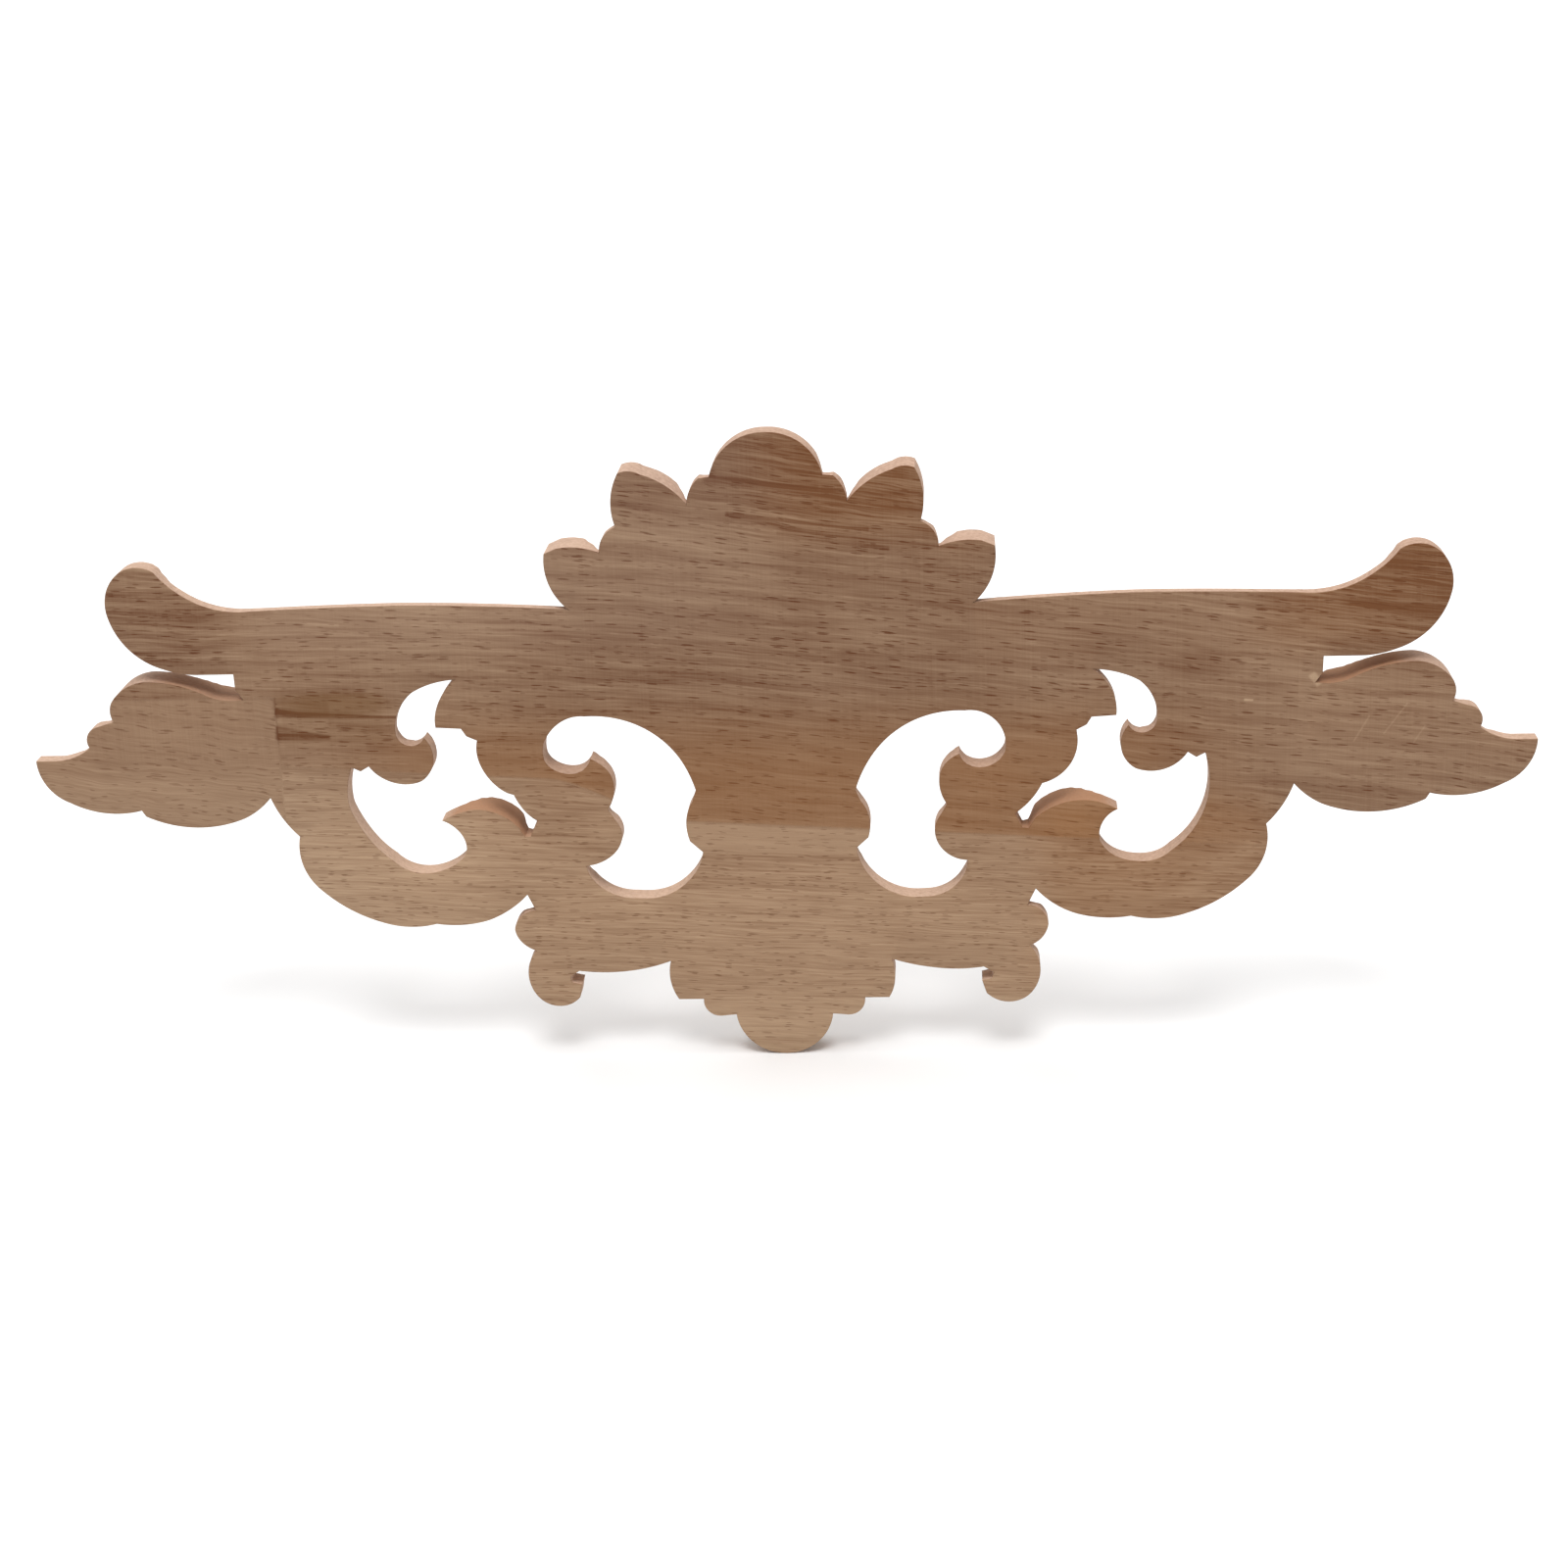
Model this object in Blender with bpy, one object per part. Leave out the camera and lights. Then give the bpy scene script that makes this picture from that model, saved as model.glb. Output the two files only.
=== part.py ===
"""Carved wood applique: one flat-backed board, sawn to a scrolled outline, pierced four times
and carved in low relief on its front. The back lies on y = 0 and faces +Y, the relief rises
towards -Y, and the origin is in the middle of the back."""

import math

import bmesh
import bpy
import numpy as np
from mathutils import Vector
from mathutils.geometry import delaunay_2d_cdt

# Driving dimensions, in metres.
WIDTH = 0.3076
SWELL = 0.0044           # how far the front rises above the sawn edge
SWELL_REACH = 0.0065     # how far in from the edge it has risen
THINNEST = 0.0024        # least thickness under any cut
OUTLINE_STEP = 0.0020    # length of the facets along the sawn edge
CUT_STEP = 0.0030        # length of the facets along a carved line
FRONT_STEP = 0.0031      # spacing of the points between the carved lines
RIM_CLEARANCE = 0.0010   # a rim stops this far short of the sawn edge
POINT_CLEARANCE = 0.0013  # a point of the front's lattice keeps this far from every line
MERGE = 0.00005          # points closer than this are one
NEAREST_EDGE = 0.2       # evens out which edge points set the height, in square millimetres

# The drawing is one half of the applique, in millimetres at full size: x outwards from the
# middle and z up from half height. A move (x, z) is a straight line to that point, and a move
# (via_x, via_z, x, z) is a circle arc to (x, z) that passes through the first pair.
DRAWN_WIDTH = 307.6
MM = WIDTH / DRAWN_WIDTH

# Each stretch of the outside edge: its name, how thick the wood is there, and its moves.
TOP = (0.0, 67.0)
OUTSIDE = [
    ("centre petal", 5.4, [(8.2, 63.8, 11.3, 58.2)]),
    ("first bud", 4.8, [(13.4, 58.0), (15.1, 55.9, 16.0, 52.8)]),
    ("upper petal", 8.5, [(20.3, 56.8, 25.0, 59.0), (27.4, 59.7, 29.5, 59.3),
                          (31.1, 54.4, 30.5, 48.4)]),
    ("second bud", 4.2, [(33.0, 46.5, 34.0, 43.2)]),
    ("side petal", 8.6, [(38.4, 44.3, 42.6, 44.2), (45.2, 43.1), (44.9, 37.8, 40.9, 31.5)]),
    ("arm", 2.4, [(58.0, 32.5, 75.0, 33.0), (90.0, 32.8, 106.0, 32.3)]),
    ("the arm's rise", 3.2, [(118.2, 34.9, 125.0, 41.3)]),
    ("ear", 5.0, [(128.6, 42.5, 132.0, 41.3), (135.2, 36.8, 135.3, 31.2),
                  (132.4, 25.4, 125.0, 20.3)]),
    ("slot", 6.0, [(121.4, 19.3, 117.5, 19.0), (110.6, 19.0), (110.5, 15.6), (109.1, 13.6)]),
    ("leaf, first lobe's root", 10.0, [(112.4, 13.4, 116.0, 14.2)]),
    ("leaf, first lobe", 8.0, [(122.5, 16.8, 129.2, 17.7), (133.6, 16.3, 136.6, 13.4),
                               (137.1, 11.7, 136.6, 9.2)]),
    ("leaf, second lobe", 4.2, [(140.6, 8.0), (142.4, 6.3, 142.2, 3.6)]),
    ("leaf, tip", 3.8, [(145.8, 1.6, 149.6, 0.9), (153.8, 0.9), (152.5, -4.0, 147.5, -8.4),
                        (140.6, -10.7, 132.7, -10.3)]),
    ("leaf, last lobe", 6.0, [(131.9, -11.6), (121.3, -14.2, 111.0, -12.3),
                              (107.9, -10.4, 105.3, -7.9)]),
    ("large scroll", 6.5, [(103.4, -12.0, 99.9, -16.5), (99.8, -22.8, 96.0, -28.8),
                           (90.8, -32.8, 84.0, -35.9), (78.4, -37.0, 72.5, -36.4),
                           (67.0, -36.7, 61.2, -35.7), (56.7, -33.5, 52.9, -30.1)]),
    ("scroll bud", 3.6, [(51.2, -33.6), (54.5, -35.3, 55.5, -38.0), (54.3, -40.8, 51.6, -42.7)]),
    ("lower volute", 5.5, [(53.8, -48.4, 52.2, -53.0), (47.5, -55.4, 42.9, -53.4),
                           (42.1, -50.5), (44.2, -50.0), (44.4, -48.6), (42.4, -47.4)]),
    ("lower edge", 5.5, [(33.0, -47.6, 23.6, -45.4)]),
    ("pendant", 6.0, [(23.8, -50.0, 22.2, -54.1), (17.0, -54.1), (15.9, -57.1, 13.5, -58.0),
                      (10.2, -57.7)]),
    ("foot", 7.0, [(7.2, -63.8, 0.0, -66.7)]),
]

# The two holes of this half, each a closed run of stretches that ends at its first point.
INNER_HOLE = ((38.8, 8.9), [
    ("middle side", 4.4, [(25.4, 5.2, 16.7, -7.0), (17.6, -9.6), (19.1, -15.2, 18.6, -18.3),
                          (16.1, -20.6)]),
    ("bottom", 5.2, [(20.8, -28.9, 30.0, -31.5), (36.9, -28.5, 39.0, -23.6)]),
    ("outer side", 4.2, [(33.6, -20.9, 32.9, -13.4), (34.4, -10.4), (33.3, -4.4, 37.5, 0.5)]),
    ("hook", 6.0, [(42.6, -3.0, 46.8, 0.0), (46.2, 4.9, 38.8, 8.9)]),
])
OUTER_HOLE = ((65.6, 17.1), [
    ("horn", 3.8, [(70.2, 16.3, 74.0, 14.6), (77.0, 10.3, 77.5, 6.0), (75.6, 3.7, 71.8, 5.2)]),
    ("curl", 4.6, [(70.3, 0.3, 73.2, -4.1), (79.0, -4.4, 83.8, -0.8), (85.5, -1.9), (87.3, -1.0)]),
    ("bottom", 5.2, [(87.5, -12.3, 80.7, -22.0), (71.6, -24.6, 66.1, -19.8),
                     (66.4, -16.2, 69.7, -12.9)]),
    ("scroll tip", 5.2, [(66.0, -11.3, 62.0, -10.8)]),
    ("scroll head", 9.2, [(57.0, -11.9, 53.2, -14.3), (51.8, -16.5)]),
    ("throat", 6.2, [(50.6, -16.3), (49.3, -13.1)]),
    ("drooping leaf", 4.0, [(54.4, -7.0), (60.0, -3.1, 61.3, 4.3), (63.4, 5.4), (64.4, 7.0),
                            (69.4, 7.3), (68.9, 12.3, 65.6, 17.1)]),
])

# The halves were sawn by hand, so the real edge leaves the pattern here and there. Each slip
# is a place on the pattern and how far the real edge lies from it, in x and in z.
SLIP_REACH = 6.0
SLIPS = [
    (46.8, 1.5, 0.9, -0.5), (37.5, 0.5, 0.6, -0.9), (34.4, -10.4, 0.6, -1.0),
    (39.0, -23.6, 1.2, -0.2), (30.0, -31.5, 0.0, 0.4), (16.1, -20.6, -0.3, -0.5),
    (16.7, -7.0, 0.0, -0.6), (65.6, 17.1, -0.5, 0.0), (77.3, 8.0, 0.5, -0.6),
    (71.8, 5.2, 0.5, -0.4), (76.5, -4.4, 0.0, -0.6), (85.5, -1.9, 0.4, -0.6),
    (87.7, -8.0, 0.9, 0.0), (66.2, -18.5, -1.3, -0.5), (69.7, -12.9, 0.5, -0.5),
    (51.2, -16.4, 0.9, -0.7), (54.4, -7.0, 0.0, -1.0), (64.4, 7.0, 0.0, -0.5),
    (42.4, -48.0, 0.6, 0.0), (55.5, -38.0, 0.6, 0.0), (128.0, 42.3, 0.0, -0.6),
    (-65.6, 17.1, 0.8, 0.0), (-73.0, -24.4, 0.0, 0.7), (-49.3, -13.1, 0.5, -0.4),
    (-37.5, 0.5, 0.0, -0.9), (-34.4, -10.4, -0.4, -0.8), (-16.7, -7.0, 0.5, -0.9),
    (-23.6, -45.4, 0.7, 0.0), (-42.4, -50.0, 0.5, 0.0), (-128.0, 42.3, 0.0, -0.6),
]

# Carved lines. A valley has a sharp bottom and a scoop a round one. Each gives its start, its
# moves, its half width at both ends and its depth at both ends.
VALLEYS = [
    # Between the petals of the crown, down to its root.
    ((11.3, 58.2), [(7.4, 47.0, 4.2, 36.0)], (3.6, 2.2), (3.2, 2.0)),
    ((16.0, 52.8), [(10.9, 43.4, 6.6, 34.4)], (3.6, 2.2), (3.6, 2.0)),
    ((30.5, 48.4), [(19.6, 41.6, 9.0, 32.8)], (4.0, 2.2), (4.0, 2.0)),
    ((34.0, 43.2), [(22.8, 37.6, 11.0, 30.6)], (4.0, 2.2), (4.0, 2.0)),
    ((40.9, 31.5), [(27.5, 30.8, 12.5, 26.8)], (4.5, 3.0), (3.0, 2.6)),
    # Between the arm and what hangs from it.
    ((109.1, 13.6), [(95.0, 12.6, 77.4, 8.6)], (3.6, 3.2), (3.0, 2.4)),
    # The root of the leaf, and between its lobes.
    ((105.3, -7.9), [(100.6, 2.4, 104.6, 12.8)], (3.8, 3.0), (3.6, 2.6)),
    ((136.6, 9.2), [(124.0, 6.8, 111.0, 3.4)], (3.8, 2.0), (3.4, 1.6)),
    ((142.2, 3.6), [(127.0, 2.0, 111.0, 0.4)], (3.6, 2.0), (3.2, 1.6)),
    ((132.7, -10.3), [(121.5, -6.6, 110.0, -3.2)], (3.6, 2.0), (3.0, 1.6)),
    # The drooping leaf between the holes.
    ((64.4, 7.0), [(56.5, 9.2, 49.5, 15.4)], (3.4, 2.0), (2.8, 1.6)),
    ((54.4, -7.0), [(50.6, -0.6, 49.4, 7.0)], (3.2, 2.2), (2.6, 1.8)),
    ((34.4, -10.4), [(42.0, -10.0, 49.3, -13.1)], (3.2, 2.8), (2.4, 2.4)),
    ((39.0, -23.6), [(46.0, -25.2, 52.0, -30.0)], (3.2, 2.8), (2.4, 2.4)),
    ((51.2, -16.5), [(49.6, -23.4, 52.9, -30.1)], (3.4, 3.4), (2.8, 2.8)),
    # Above and below the scroll bud.
    ((51.2, -33.6), [(45.5, -33.0, 39.5, -34.6)], (3.2, 2.0), (2.4, 1.4)),
    ((51.6, -42.7), [(46.0, -39.4, 39.0, -38.6)], (3.2, 2.0), (2.4, 1.4)),
    # The collars of the middle, and between the lobes of the pendant.
    ((16.7, -7.0), [(8.0, -8.9, -8.0, -8.9), (-16.7, -7.0)], (2.6, 2.6), (2.2, 2.2)),
    ((16.1, -20.6), [(0.0, -24.0, -16.1, -20.6)], (3.0, 3.0), (2.6, 2.6)),
    ((10.2, -57.8), [(7.0, -46.5, 3.6, -36.0)], (3.2, 1.8), (2.8, 1.6)),
    ((17.0, -54.1), [(11.4, -44.4, 6.2, -34.6)], (3.2, 1.8), (2.8, 1.6)),
    ((23.6, -45.4), [(16.4, -38.4, 8.8, -32.8)], (3.4, 1.8), (2.8, 1.6)),
]
SCOOPS = [
    ((0.0, 60.6), [(0.0, 41.0)], (6.4, 3.0), (2.6, 1.4)),
    ((26.0, 54.2), [(18.6, 48.2, 11.2, 39.4)], (5.2, 2.2), (2.6, 1.2)),
    ((40.0, 38.8), [(28.4, 36.4, 15.4, 30.8)], (4.6, 2.0), (2.6, 1.2)),
    ((52.0, 22.0), [(80.0, 24.6, 106.0, 24.2), (120.6, 27.0, 128.8, 36.0)], (5.6, 4.4), (2.0, 2.6)),
    ((82.0, 2.6), [(91.8, -1.0, 95.2, -9.0), (92.6, -20.4, 84.6, -28.2),
                   (73.6, -31.6, 62.6, -28.6), (56.0, -21.6)], (3.4, 4.0), (2.2, 2.4)),
    ((13.0, -1.6), [(18.8, 7.2, 29.0, 13.0), (44.0, 14.0, 53.0, 4.6)], (2.6, 3.4), (1.8, 2.2)),
    ((131.0, 12.6), [(121.4, 11.4, 112.0, 8.0)], (4.0, 2.0), (2.4, 1.2)),
    ((138.6, 5.6), [(125.6, 4.6, 112.6, 2.2)], (2.2, 1.4), (1.6, 1.0)),
    ((148.0, -3.4), [(131.0, -3.6, 112.6, -1.8)], (4.4, 1.8), (2.4, 1.2)),
    ((123.6, -10.4), [(115.0, -8.6, 108.4, -4.6)], (3.2, 1.8), (2.2, 1.2)),
    ((65.6, 11.4), [(60.0, 14.2, 53.6, 18.2)], (2.8, 1.8), (2.0, 1.2)),
    ((22.4, -37.0), [(34.0, -41.6, 44.0, -42.6), (48.6, -43.6, 50.0, -47.0)], (3.4, 2.6), (2.2, 1.6)),
    ((0.0, -61.0), [(0.0, -41.0)], (5.6, 2.4), (2.4, 1.2)),
    ((19.6, -49.6), [(14.4, -42.6, 9.4, -36.6)], (3.4, 1.6), (2.2, 1.2)),
]

# Ridges between two close valleys, which the front's triangles follow. They cut nothing.
RIDGES = [
    ((13.8, 56.0), [(9.2, 45.2, 5.4, 35.2)]),
    ((32.6, 46.0), [(21.2, 39.7, 10.0, 31.7)]),
]

# Domes: middle, half width, half height and rise.
DOMES = [
    (0.0, 6.5, 8.4, 11.6, 5.2),
    (0.0, 26.0, 10.0, 5.4, 2.6),
    (0.0, -15.4, 8.6, 4.6, 2.6),
    (0.0, -29.6, 7.6, 4.4, 2.2),
    (75.9, -0.4, 4.4, 4.0, 2.4),
    (59.4, -14.8, 5.4, 3.0, 0.8),
    (47.9, -50.4, 3.4, 3.2, 2.2),
    (129.4, 30.4, 4.0, 4.4, 1.6),
]


def arc(start, via, end, step):
    """Points on the circle arc from start through via to end, without the start."""
    ax, az = start
    bx, bz = via
    cx, cz = end
    turn = 2 * ((bx - ax) * (cz - az) - (bz - az) * (cx - ax))
    if abs(turn) < 1e-6:
        return line(start, end, step)
    b2 = (bx - ax) ** 2 + (bz - az) ** 2
    c2 = (cx - ax) ** 2 + (cz - az) ** 2
    middle_x = ax + ((cz - az) * b2 - (bz - az) * c2) / turn
    middle_z = az + ((bx - ax) * c2 - (cx - ax) * b2) / turn
    radius = math.hypot(ax - middle_x, az - middle_z)
    first = math.atan2(az - middle_z, ax - middle_x)
    sweep = math.atan2(cz - middle_z, cx - middle_x) - first
    sweep = sweep % (2 * math.pi) if turn > 0 else -(-sweep % (2 * math.pi))
    count = max(2, round(abs(sweep) * radius / step))
    angles = [first + sweep * i / count for i in range(1, count)]
    bends = [(middle_x + radius * math.cos(a), middle_z + radius * math.sin(a)) for a in angles]
    return bends + [end]


def line(start, end, step):
    """Points on the straight line from start to end, without the start."""
    count = max(1, round(math.dist(start, end) / step))
    return [(start[0] + (end[0] - start[0]) * i / count,
             start[1] + (end[1] - start[1]) * i / count) for i in range(1, count + 1)]


def run(start, moves, step):
    """Points along a run of moves, with the start."""
    points = [start]
    for *via, x, z in moves:
        points += arc(points[-1], via, (x, z), step) if via else line(points[-1], (x, z), step)
    return points


def mirrored(points):
    return [(-x, z) for x, z in reversed(points)]


def loop_of(start, stretches, step):
    """The points along named stretches, with the start, and the wood's thickness at each."""
    points, thick = [start], [stretches[0][1]]
    for _, thickness, moves in stretches:
        stretch = run(points[-1], moves, step)[1:]
        points += stretch
        thick += [thickness] * len(stretch)
    return points, thick


def outline_loops(step):
    """The closed loops of the sawn edge, outside first, each with its points and thicknesses."""
    points, thick = loop_of(TOP, OUTSIDE, step)
    points += mirrored(points[1:-1])
    thick += thick[-2:0:-1]
    loops = [(points, eased(thick))]
    for start, stretches in (INNER_HOLE, OUTER_HOLE):
        points, thick = loop_of(start, stretches, step)
        hole, thick = points[:-1], eased(thick[:-1])
        loops += [(hole, thick), (mirrored(hole), thick[::-1])]
    return loops


def eased(values, passes=3):
    """The values round a loop, each averaged with its neighbours so that the edge has no step."""
    values = np.array(values)
    for _ in range(passes):
        values = (np.roll(values, 1) + 2 * values + np.roll(values, -1)) / 4
    return list(values)


def nearest(points, path):
    """How far each point is from a path, and how far along the path its nearest place is, 0 to 1."""
    path = np.array(path)
    start, along = path[:-1], np.diff(path, axis=0)
    length = np.hypot(*along.T)
    offset = points[:, None] - start
    share = np.clip((offset * along).sum(2) / length ** 2, 0, 1)
    gap = np.hypot(*(offset - share[..., None] * along).transpose(2, 0, 1))
    best = gap.argmin(1)
    rows = np.arange(len(points))
    travelled = np.concatenate([[0], np.cumsum(length)])[best] + share[rows, best] * length[best]
    return gap[rows, best], travelled / length.sum()


def both_sides(cuts):
    """Each carved line with its mirror image, unless it lies across or along the middle."""
    for start, moves, *sizes in cuts:
        path = run(start, moves, CUT_STEP / MM)
        yield path, *sizes
        if path[0][0] > 0 and path[-1][0] > 0:
            yield [(-x, z) for x, z in path], *sizes


def rim(path, widths):
    """The line round a scoop, where it meets the uncut front."""
    path = np.array(path)
    along = np.gradient(path, axis=0)
    along /= np.hypot(*along.T)[:, None]
    across = along[:, ::-1] * (-1, 1)
    share = np.linspace(0, 1, len(path))[:, None]
    width = widths[0] + (widths[1] - widths[0]) * share
    turns = np.linspace(0, math.pi, 5)[1:-1, None]
    far_end = path[-1] + width[-1] * (across[-1] * np.cos(turns) + along[-1] * np.sin(turns))
    near_end = path[0] - width[0] * (across[0] * np.cos(turns) + along[0] * np.sin(turns))
    sides = [path + across * width, far_end, (path - across * width)[::-1], near_end]
    return np.vstack(sides + [sides[0][:1]])


def dome_rim(x, z, half_width, half_height):
    """The ellipse round a dome's foot."""
    count = round(math.pi * (half_width + half_height) * MM / CUT_STEP)
    turns = np.linspace(0, 2 * math.pi, count + 1)
    return np.stack([x + half_width * np.cos(turns), z + half_height * np.sin(turns)], 1)


def clear_stretches(path, loops, clearance):
    """The parts of a line that lie on the wood, away from the sawn edge."""
    clear = inside_loops(path, loops)
    for loop, _ in loops:
        clear &= nearest(path, loop + loop[:1])[0] > clearance
    breaks = np.flatnonzero(np.diff(clear.astype(int))) + 1
    parts = zip(np.split(path, breaks), np.split(clear, breaks))
    return [part for part, wanted in parts if wanted[0] and len(part) > 1]


def carved_lines(loops):
    """Every line that the front's triangles follow: cuts, ridges and all rims."""
    lines = [np.array(path) for path, *_ in both_sides(VALLEYS + SCOOPS + RIDGES)]
    rims = [rim(path, widths) for path, widths, _ in both_sides(SCOOPS)]
    rims += [dome_rim(side, *dome[1:4]) for dome in DOMES for side in {dome[0], -dome[0]}]
    for path in rims:
        lines += clear_stretches(path, loops, RIM_CLEARANCE / MM)
    return lines


def cut_depth(points, cuts, profile):
    """The deepest that any of the cuts goes at each point."""
    deepest = np.zeros(len(points))
    for path, widths, depths in both_sides(cuts):
        gap, share = nearest(points, path)
        width = widths[0] + (widths[1] - widths[0]) * share
        depth = depths[0] + (depths[1] - depths[0]) * share
        deepest = np.maximum(deepest, depth * profile(np.clip(gap / width, 0, 1)))
    return deepest


def front_height(points, loops):
    """The height of the carved front above the back, in millimetres, at points (x, z)."""
    points = np.array(points, float)
    edge = np.array([p for loop, _ in loops for p in loop])
    thick = np.array([t for _, heights in loops for t in heights])
    gap = np.hypot(*(points[:, None] - edge).transpose(2, 0, 1))
    weight = 1 / (gap ** 2 + NEAREST_EDGE) ** 2
    height = (weight * thick).sum(1) / weight.sum(1)
    inside = np.min([nearest(points, loop + loop[:1])[0] for loop, _ in loops], axis=0)
    rise = 1 - np.clip(inside * MM / SWELL_REACH, 0, 1)
    height += SWELL / MM * np.sqrt(1 - rise ** 2)
    for x, z, half_width, half_height, up in DOMES:
        for side in {x, -x}:
            off = ((points[:, 0] - side) / half_width) ** 2 + ((points[:, 1] - z) / half_height) ** 2
            height += up * np.sqrt(np.clip(1 - off, 0, 1))
    height -= cut_depth(points, SCOOPS, lambda away: 1 - away ** 2)
    height -= cut_depth(points, VALLEYS, lambda away: 1 - away)
    return np.maximum(height, THINNEST / MM)


def inside_loops(points, loops):
    """Whether each point is on the wood: inside the outline and outside every hole."""
    x, z = points.T
    crossings = np.zeros(len(points), int)
    for loop, _ in loops:
        a = np.array(loop)
        b = np.roll(a, -1, axis=0)
        for (ax, az), (bx, bz) in zip(a, b):
            spans = (az > z) != (bz > z)
            slope = (bx - ax) / (bz - az) if bz != az else 0
            crossings += spans & (x < ax + slope * (z - az))
    return crossings % 2 == 1


def front_points(loops, lines):
    """A triangular lattice over the wood, kept clear of the sawn edge and the carved lines."""
    step = FRONT_STEP / MM
    half_height, half_width = TOP[1] + step, DRAWN_WIDTH / 2 + step
    rows = np.arange(-half_height, half_height, step * math.sqrt(3) / 2)
    columns = np.arange(0.5, half_width / step) * step
    spots = [(side * (x - (i % 2) * step / 2), z)
             for i, z in enumerate(rows) for x in columns for side in (-1, 1)]
    spots = np.array(spots)
    spots = spots[inside_loops(spots, loops)]
    for loop, _ in loops:
        spots = spots[nearest(spots, loop + loop[:1])[0] > POINT_CLEARANCE / MM]
    for path in lines:
        spots = spots[nearest(spots, path)[0] > POINT_CLEARANCE / MM]
    return [tuple(spot) for spot in spots]


def face_plan():
    """The wood seen flat: points and triangles that follow the sawn edge and every carved line."""
    loops = outline_loops(OUTLINE_STEP / MM)
    lines = carved_lines(loops)
    points, edges = [], []
    for loop, _ in loops:
        first = len(points)
        points += loop
        edges += [(first + i, first + (i + 1) % len(loop)) for i in range(len(loop))]
    for path in lines:
        first = len(points)
        points += [tuple(p) for p in path]
        edges += [(first + i, first + i + 1) for i in range(len(path) - 1)]
    points += front_points(loops, lines)
    made = delaunay_2d_cdt([Vector(p) for p in points], edges, [], 0, MERGE / MM)
    spots, triangles = np.array([tuple(v) for v in made[0]]), made[2]
    wood = inside_loops(np.array([spots[t].mean(0) for t in triangles]), loops)
    return loops, spots, [t for t, keep in zip(triangles, wood) if keep]


def slip(x, z):
    """How far the real edge has slipped from the pattern at a place, in millimetres."""
    shares = [math.exp(-((x - at_x) ** 2 + (z - at_z) ** 2) / SLIP_REACH ** 2)
              for at_x, at_z, _, _ in SLIPS]
    total = max(1, sum(shares))
    return (sum(share * over for share, (_, _, over, _) in zip(shares, SLIPS)) / total,
            sum(share * up for share, (_, _, _, up) in zip(shares, SLIPS)) / total)


def carved_mesh():
    """The board: its flat back, the front raised from it, and the sawn edge between them."""
    loops, spots, triangles = face_plan()
    bm = bmesh.new()
    verts = [bm.verts.new((x * MM, 0, z * MM)) for x, z in spots]
    for triangle in triangles:
        bm.faces.new([verts[i] for i in triangle])
    for vert in [v for v in bm.verts if not v.link_faces]:
        bm.verts.remove(vert)
    back = list(bm.faces)
    made = bmesh.ops.extrude_face_region(bm, geom=back, use_keep_orig=True)
    raised = [v for v in made["geom"] if isinstance(v, bmesh.types.BMVert)]
    heights = front_height([(v.co.x / MM, v.co.z / MM) for v in raised], loops)
    for vert, height in zip(raised, heights):
        vert.co.y = -height * MM
    inner = [e for e in bm.edges if all(f in back for f in e.link_faces)]
    bmesh.ops.dissolve_limit(bm, angle_limit=math.radians(1), edges=inner,
                             verts=[v for v in bm.verts if v.co.y == 0])
    for vert in bm.verts:
        over, up = slip(vert.co.x / MM, vert.co.z / MM)
        vert.co += Vector((over, 0, up)) * MM
    bmesh.ops.recalc_face_normals(bm, faces=bm.faces)
    mesh = bpy.data.meshes.new("carved_applique")
    bm.to_mesh(mesh)
    bm.free()
    return mesh


def wood():
    """Pale, open-grained hardwood, sanded and left bare."""
    material = bpy.data.materials.new("bare_wood")
    material.use_nodes = True
    shader = material.node_tree.nodes["Principled BSDF"]
    shader.inputs["Base Color"].default_value = (0.34, 0.21, 0.14, 1)
    shader.inputs["Roughness"].default_value = 0.62
    shader.inputs["Metallic"].default_value = 0
    material.diffuse_color = (0.34, 0.21, 0.14, 1)
    return material


for thing in list(bpy.data.objects):
    bpy.data.objects.remove(thing)

collection = bpy.data.collections.new("carved_wood_applique")
bpy.context.scene.collection.children.link(collection)
applique = bpy.data.objects.new("carved_applique", carved_mesh())
applique.data.materials.append(wood())
applique.data.shade_smooth()
applique.data.set_sharp_from_angle(angle=math.radians(35))
collection.objects.link(applique)
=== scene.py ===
# %% [markdown]
# A carved wood applique, seen from its flat back
#
# The real thing is one glued-up blank of pale, open-grained hardwood. It is carved in low
# relief on one face, sawn to a scrolled outline and sanded flat on the other face, which goes
# against a door or a drawer front. This lesson rebuilds it in the order of the workshop: draw
# the outline, plane a slab, carve the slab's front, saw the outline out of it and break the
# sharp back edge. Then it makes the wood, and at the end the light.
#
# The imported solid gives the size and the place. The first cell loads it and keeps its box,
# so that the dressed piece can be measured against it at the end.

# %% Load the frame
import math

import bmesh
import bpy
import numpy as np
from mathutils import Matrix, Vector
from mathutils.bvhtree import BVHTree


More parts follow.
